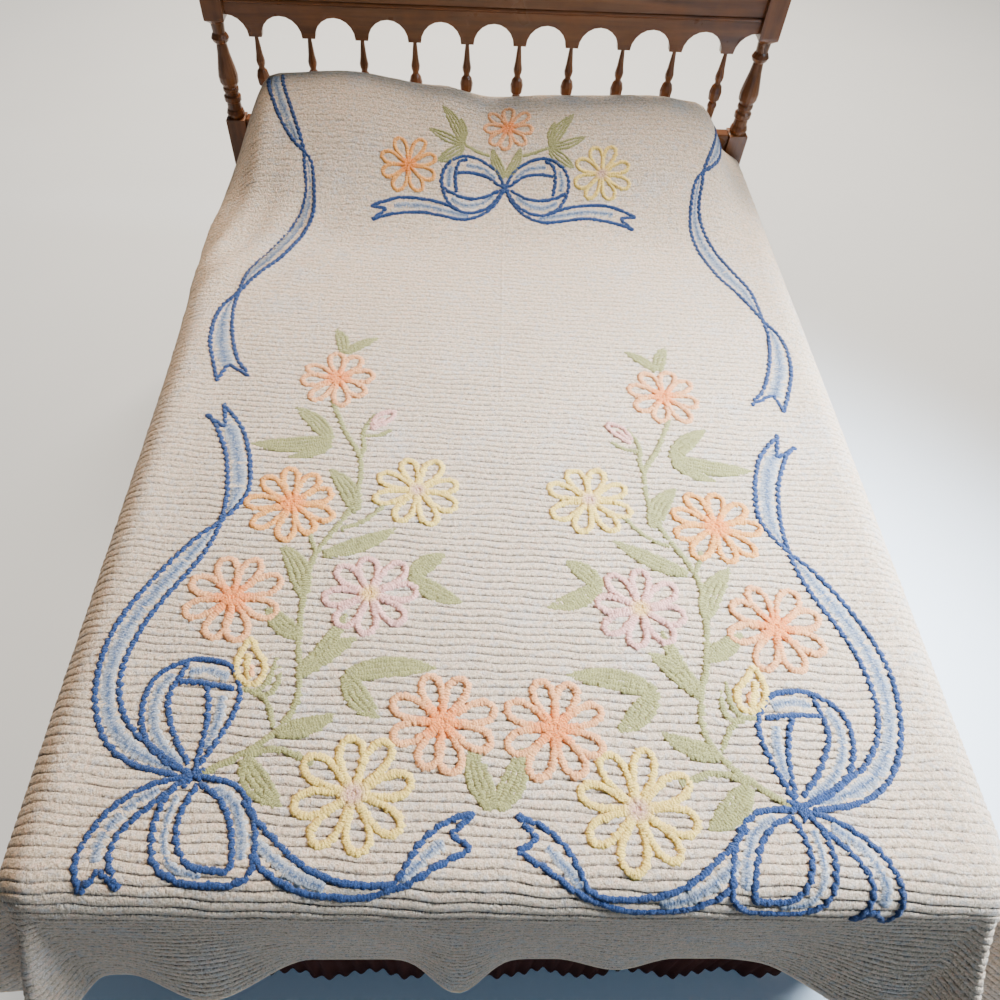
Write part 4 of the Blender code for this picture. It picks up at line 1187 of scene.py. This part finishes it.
UPPER_RIBBON = (
    (588, 135, 17), (575, 185, 17), (542, 262, 16), (510, 322, 8), (495, 346, 0), (482, 380, -9),
    (473, 440, -10), (476, 500, -15), (496, 565, -19), (528, 645, -21), (562, 712, -16),
    (586, 800, 0), (601, 870, 15), (592, 955, 23), (566, 1030, 25), (545, 1068, 31),
)
LOWER_RIBBON = (
    (560, 1160, 18), (537, 1185, 19), (515, 1222, 22), (501, 1257, 21), (490, 1295, 21),
    (482, 1360, 18), (499, 1425, 0), (516, 1460, -12), (538, 1505, -19), (567, 1562, -20),
    (588, 1616, -20), (597, 1665, -19), (596, 1715, -17), (582, 1765, -17), (552, 1810, -18),
    (508, 1838, -16), (447, 1860, -5),
)
UPPER_END = ((575, 1082), (510, 1064), (561, 1032))     # two tips and the notch between them
LOWER_END = ((546, 1141), (576, 1176), (531, 1205))
KNOT = (430, 1862)
BOWS = (
    # lower bow: upper loop, with the ribbon folded over at its top
    (blue, (KNOT, (474, 1845), (512, 1812), (530, 1765), (524, 1719), (488, 1691), (450, 1686),
            (414, 1698), (392, 1738), (396, 1780), (412, 1822), KNOT)),
    (blue, ((438, 1848), (468, 1812), (490, 1772), (496, 1748), (492, 1724))),
    (blue, ((483, 1692), (492, 1724))),
    (blue, ((492, 1724), (452, 1725), (402, 1731))),
    (blue, ((445, 1728), (434, 1760), (428, 1800), (428, 1850))),
    (pale, ((448, 1850), (488, 1818), (510, 1780), (513, 1740), (500, 1712))),
    (pale, ((478, 1708), (447, 1704), (415, 1713))),
    (pale, ((418, 1742), (414, 1780), (420, 1825))),
    # lower loop
    (blue, (KNOT, (455, 1888), (464, 1925), (459, 1960), (445, 1985), (415, 1999), (375, 2001),
            (338, 1998), (320, 1980), (324, 1940), (340, 1900), (370, 1872), KNOT)),
    (blue, ((418, 1874), (430, 1905), (432, 1935), (420, 1966), (398, 1982), (370, 1985),
            (350, 1982), (353, 1950), (367, 1915), (390, 1888), (418, 1874))),
    (pale, ((443, 1890), (448, 1925), (443, 1958), (425, 1983), (385, 1993)), 14),
    (pale, ((395, 1878), (362, 1898), (344, 1935), (336, 1972))),
    # outer tail
    (blue, (KNOT, (484, 1880), (522, 1908), (545, 1945), (552, 1985), (538, 2018))),
    (blue, (KNOT, (463, 1894), (494, 1926), (510, 1955), (508, 1983), (488, 2012))),
    (pale, ((470, 1884), (508, 1915), (528, 1955), (526, 1985))),
    *fork((538, 2018), (488, 2012), (518, 1992)),
    # inner tail
    (blue, ((352, 1893), (332, 1914), (303, 1939), (262, 1969), (222, 1985), (175, 1991),
            (132, 1986), (115, 1962), (98, 1934), (68, 1908), (29, 1893))),
    (blue, ((326, 1962), (300, 1984), (255, 2002), (210, 2007), (174, 2006), (142, 1997),
            (110, 1985), (75, 1964), (31, 1941))),
    (pale, ((333, 1938), (300, 1963), (262, 1985), (222, 1996))),
    (pale, ((125, 1985), (100, 1962), (70, 1932))),
    # the knot
    (blue, ((412, 1853), (448, 1871))),
    (blue, ((424, 1842), (436, 1882))),
    (blue, ((414, 1868), (446, 1855))),
    *fork((29, 1893), (31, 1941), (60, 1924)),
    # bow at the head
    (blue, ((-6, 412), (4, 398), (20, 362), (55, 336), (96, 326), (133, 342), (153, 370),
            (157, 400), (150, 432), (132, 461), (105, 478), (72, 476), (40, 460), (16, 432),
            (2, 408))),
    (blue, ((10, 402), (44, 376), (83, 369), (120, 374))),
    (blue, ((96, 333), (118, 348), (124, 388), (119, 427))),
    (blue, ((153, 417), (120, 433), (83, 439), (48, 431), (14, 411))),
    (pale, ((24, 380), (56, 355), (100, 350)), 19),
    (pale, ((134, 358), (140, 385), (138, 414)), 20),
    (pale, ((132, 444), (95, 459), (55, 449), (28, 426)), 19),
    (blue, ((100, 478), (140, 461), (198, 449), (250, 448), (290, 460), (326, 476))),
    (blue, ((-4, 398), (6, 416), (20, 446), (52, 480), (98, 498), (153, 491), (197, 484),
            (245, 488), (285, 497), (320, 512))),
    (pale, ((85, 489), (140, 478), (198, 467), (248, 468), (270, 472)), 19),
    *fork((326, 476), (320, 512), (286, 480)),
    # its knot
    (blue, ((-12, 396), (12, 414))),
    (blue, ((2, 392), (3, 420))),
)
MAIN_STEM = (
    (420, 1862), (366, 1829), (327, 1795), (306, 1750), (312, 1690), (322, 1655), (331, 1570),
    (326, 1485), (272, 1370), (266, 1270), (302, 1198), (336, 1118),
)
STEMS = (
    (green, MAIN_STEM),
    (green, ((366, 1832), (318, 1820), (262, 1838))),
    (green, ((290, 1428), (256, 1412), (232, 1390), (214, 1366)), 12),
    (green, ((322, 1484), (336, 1455), (343, 1432)), 12),
    (green, ((268, 1262), (262, 1236), (268, 1205))),
)
# base, tip, width, bend
LEAVES = (
    ((330, 980), (356, 902), 32, 0.06), ((325, 980), (262, 926), 28, -0.06),
    ((325, 1222), (405, 1140), 38, 0.05), ((325, 1222), (476, 1242), 40, -0.05),
    ((325, 1232), (402, 1270), 26, -0.08), ((264, 1388), (322, 1293), 40, 0.08),
    ((312, 1482), (190, 1420), 36, 0.04), ((331, 1565), (388, 1464), 42, 0.08),
    ((322, 1640), (388, 1588), 36, -0.05), ((309, 1702), (232, 1634), 38, -0.06),
    ((309, 1702), (256, 1592), 30, 0.05), ((160, 1516), (103, 1468), 38, -0.06),
    ((160, 1516), (70, 1562), 38, 0.06), ((240, 1698), (101, 1680), 40, -0.05),
    ((240, 1698), (177, 1768), 40, 0.06), ((364, 1836), (297, 1900), 42, 0.06),
    ((326, 1795), (243, 1764), 34, 0.05), ((3, 1888), (38, 1798), 40, -0.06),
)
HEAD_LEAVES = (
    ((108, 296), (168, 196), 34, 0.05), ((108, 296), (198, 264), 28, -0.05),
    ((108, 300), (171, 350), 36, -0.05), ((110, 288), (120, 222), 24, 0.05),
    ((2, 378), (36, 294), 30, -0.05),
)
BUDS = (
    (green, ((40, 318), (75, 308), (108, 296)), 11),
    (pink, ((252, 1190), (216, 1160), (212, 1140), (240, 1150), (255, 1180)), 12, SHORT_STEP),
    (pink, ((250, 1180), (228, 1158)), 12, SHORT_STEP),
    (green, ((268, 1208), (262, 1180), (246, 1150)), 12, SHORT_STEP),
    (green, ((268, 1208), (240, 1205), (212, 1188)), 12, SHORT_STEP),
    (yellow, ((378, 1726), (402, 1712), (410, 1684), (398, 1650), (384, 1668), (366, 1690),
              (366, 1712), (378, 1726)), 13.5, SHORT_STEP),
    (yellow, ((396, 1672), (392, 1695), (384, 1716)), 13.5, SHORT_STEP),
    (peach, ((386, 1690), (382, 1712)), 10, SHORT_STEP),
    (green, ((392, 1732), (368, 1732), (354, 1712), (350, 1668)), 13, SHORT_STEP, 0.5),
    (green, ((372, 1738), (350, 1738), (340, 1716), (342, 1690)), 13, SHORT_STEP, 0.5),
    (green, ((362, 1736), (346, 1756), (330, 1788)), 12),
)
# dye, place, radius, petals, degrees the first is turned by, heart
FLOWERS = (
    (peach, (332, 1055), 79, 8, 10, 30), (orange, (380, 1378), 85, 9, 0, 26),
    (yellow, (157, 1333), 82, 8, 15, 14), (peach, (445, 1576), 85, 8, 25, 36),
    (pink, (224, 1555), 81, 8, 5, 16), (peach, (84, 1766), 83, 8, 20, 36),
    (yellow, (200, 1877), 89, 8, 12, 16),
)
HEAD_FLOWERS = (
    (-1, orange, (241, 365), 76, 8, 22, 24), (1, yellow, (239, 365), 77, 8, 22, 14),
    (1, peach, (2, 238), 66, 8, 0, 22),
)

for side in (-1, 1):
    ribbon(UPPER_RIBBON, side, fill_short=6)
    draw(fork(*UPPER_END), side)
    ribbon(LOWER_RIBBON, side, fill_from=5)
    draw(fork(*LOWER_END), side)
    draw(BOWS, side)
    draw(STEMS, side)
    for row in LEAVES:
        leaf(side, *row)
    for row in HEAD_LEAVES:
        leaf(side, *row, HEAD_GREEN)
    draw(BUDS, side)
    for row in FLOWERS:
        daisy(side, *row)
for row in HEAD_FLOWERS:
    daisy(*row, HEAD_PETAL)
tufted = [dye.finish() for dye in (blue, pale, green, orange, peach, yellow, pink)]

# --- what each piece is --------------------------------------------------------------------------
spread_parts = [backing, hem, *tufted]
for piece in (rows_piece, *spread_parts):
    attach(piece, "root")
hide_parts("bedspread")
for piece in (skirt, deck):
    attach(piece, "root")
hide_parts("bed_skirt")
for piece, solid in ((mattress, "mattress"), (box_spring, "box_spring")):
    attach(piece, "root")
    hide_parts(solid)
for piece in tapes:
    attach(piece, "root")
for piece, solid in zip(pillows, ("pillow_left", "pillow_right")):
    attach(piece, "root")
    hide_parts(solid)


# --- floor, light and camera ---------------------------------------------------------------------
def add_floor(reach):
    look = Look("pale_floor")
    material = look.finish(look.mix(look.noise(3.0, 3.0), FLOOR_DARK, FLOOR_LIGHT), 0.8)
    points = [(x * reach, y * reach, 0.0) for x, y in ((-1, -1), (1, -1), (1, 1), (-1, 1))]
    floor = add_mesh("floor", points, [(0, 1, 2, 3)], material, smooth=False)


def add_area_light(name, place, target, size, power, colour, spread=180):
    data = bpy.data.lights.new(name, "AREA")
    data.spread = math.radians(spread)
    data.shape = "DISK"
    data.size = size
    data.energy = power
    data.color = colour
    item = bpy.data.objects.new(name, data)
    item.location = place
    item.rotation_mode = "QUATERNION"
    item.rotation_quaternion = (Vector(target) - Vector(place)).to_track_quat("-Z", "Y")
    bpy.context.scene.collection.objects.link(item)


def set_world(strength, colour):
    world = bpy.data.worlds.new("studio")
    world.use_nodes = True
    background = world.node_tree.nodes["Background"]
    background.inputs["Color"].default_value = (*colour, 1.0)
    background.inputs["Strength"].default_value = strength
    bpy.context.scene.world = world


def add_camera():
    sy, cy = math.sin(CAMERA_YAW), math.cos(CAMERA_YAW)
    sp, cp = math.sin(CAMERA_PITCH), math.cos(CAMERA_PITCH)
    sr, cr = math.sin(CAMERA_ROLL), math.cos(CAMERA_ROLL)
    ahead = np.array([-sy * cp, cy * cp, -sp])
    level = np.array([cy, sy, 0.0])
    over = np.cross(level, ahead)
    right = cr * level + sr * over
    up = -sr * level + cr * over
    data = bpy.data.cameras.new("camera")
    data.sensor_width = SENSOR_MM
    data.lens = CAMERA_FOCAL_PX / PHOTO_PX * SENSOR_MM
    data.shift_x = (PHOTO_PX / 2 - CAMERA_CENTRE_PX[0]) / PHOTO_PX
    data.shift_y = (CAMERA_CENTRE_PX[1] - PHOTO_PX / 2) / PHOTO_PX
    item = bpy.data.objects.new("camera", data)
    turn = Matrix((right, up, -ahead)).transposed()
    item.matrix_world = Matrix.Translation(Vector(CAMERA_PLACE + BED_ORIGIN)) @ turn.to_4x4()
    bpy.context.scene.collection.objects.link(item)
    bpy.context.scene.camera = item


add_floor(reach=14.0)
set_world(strength=0.13, colour=(0.68, 0.84, 1.0))
add_area_light("overhead", (0.3, 3.7, 4.65), target=(0.0, -0.1, 0.5), size=2.0, power=672.0,
               colour=(1.0, 0.860, 0.690))
add_area_light("window", (2.4, -0.20, 2.0), target=(0.55, -0.25, 0.5), size=1.0, power=86.0,
               colour=(0.70, 0.845, 1.0), spread=57)
add_area_light("fill", (1.8, -4.2, 1.6), target=(0.1, -1.0, 0.4), size=2.4, power=38.0,
               colour=(0.32, 0.62, 1.0))
add_camera()
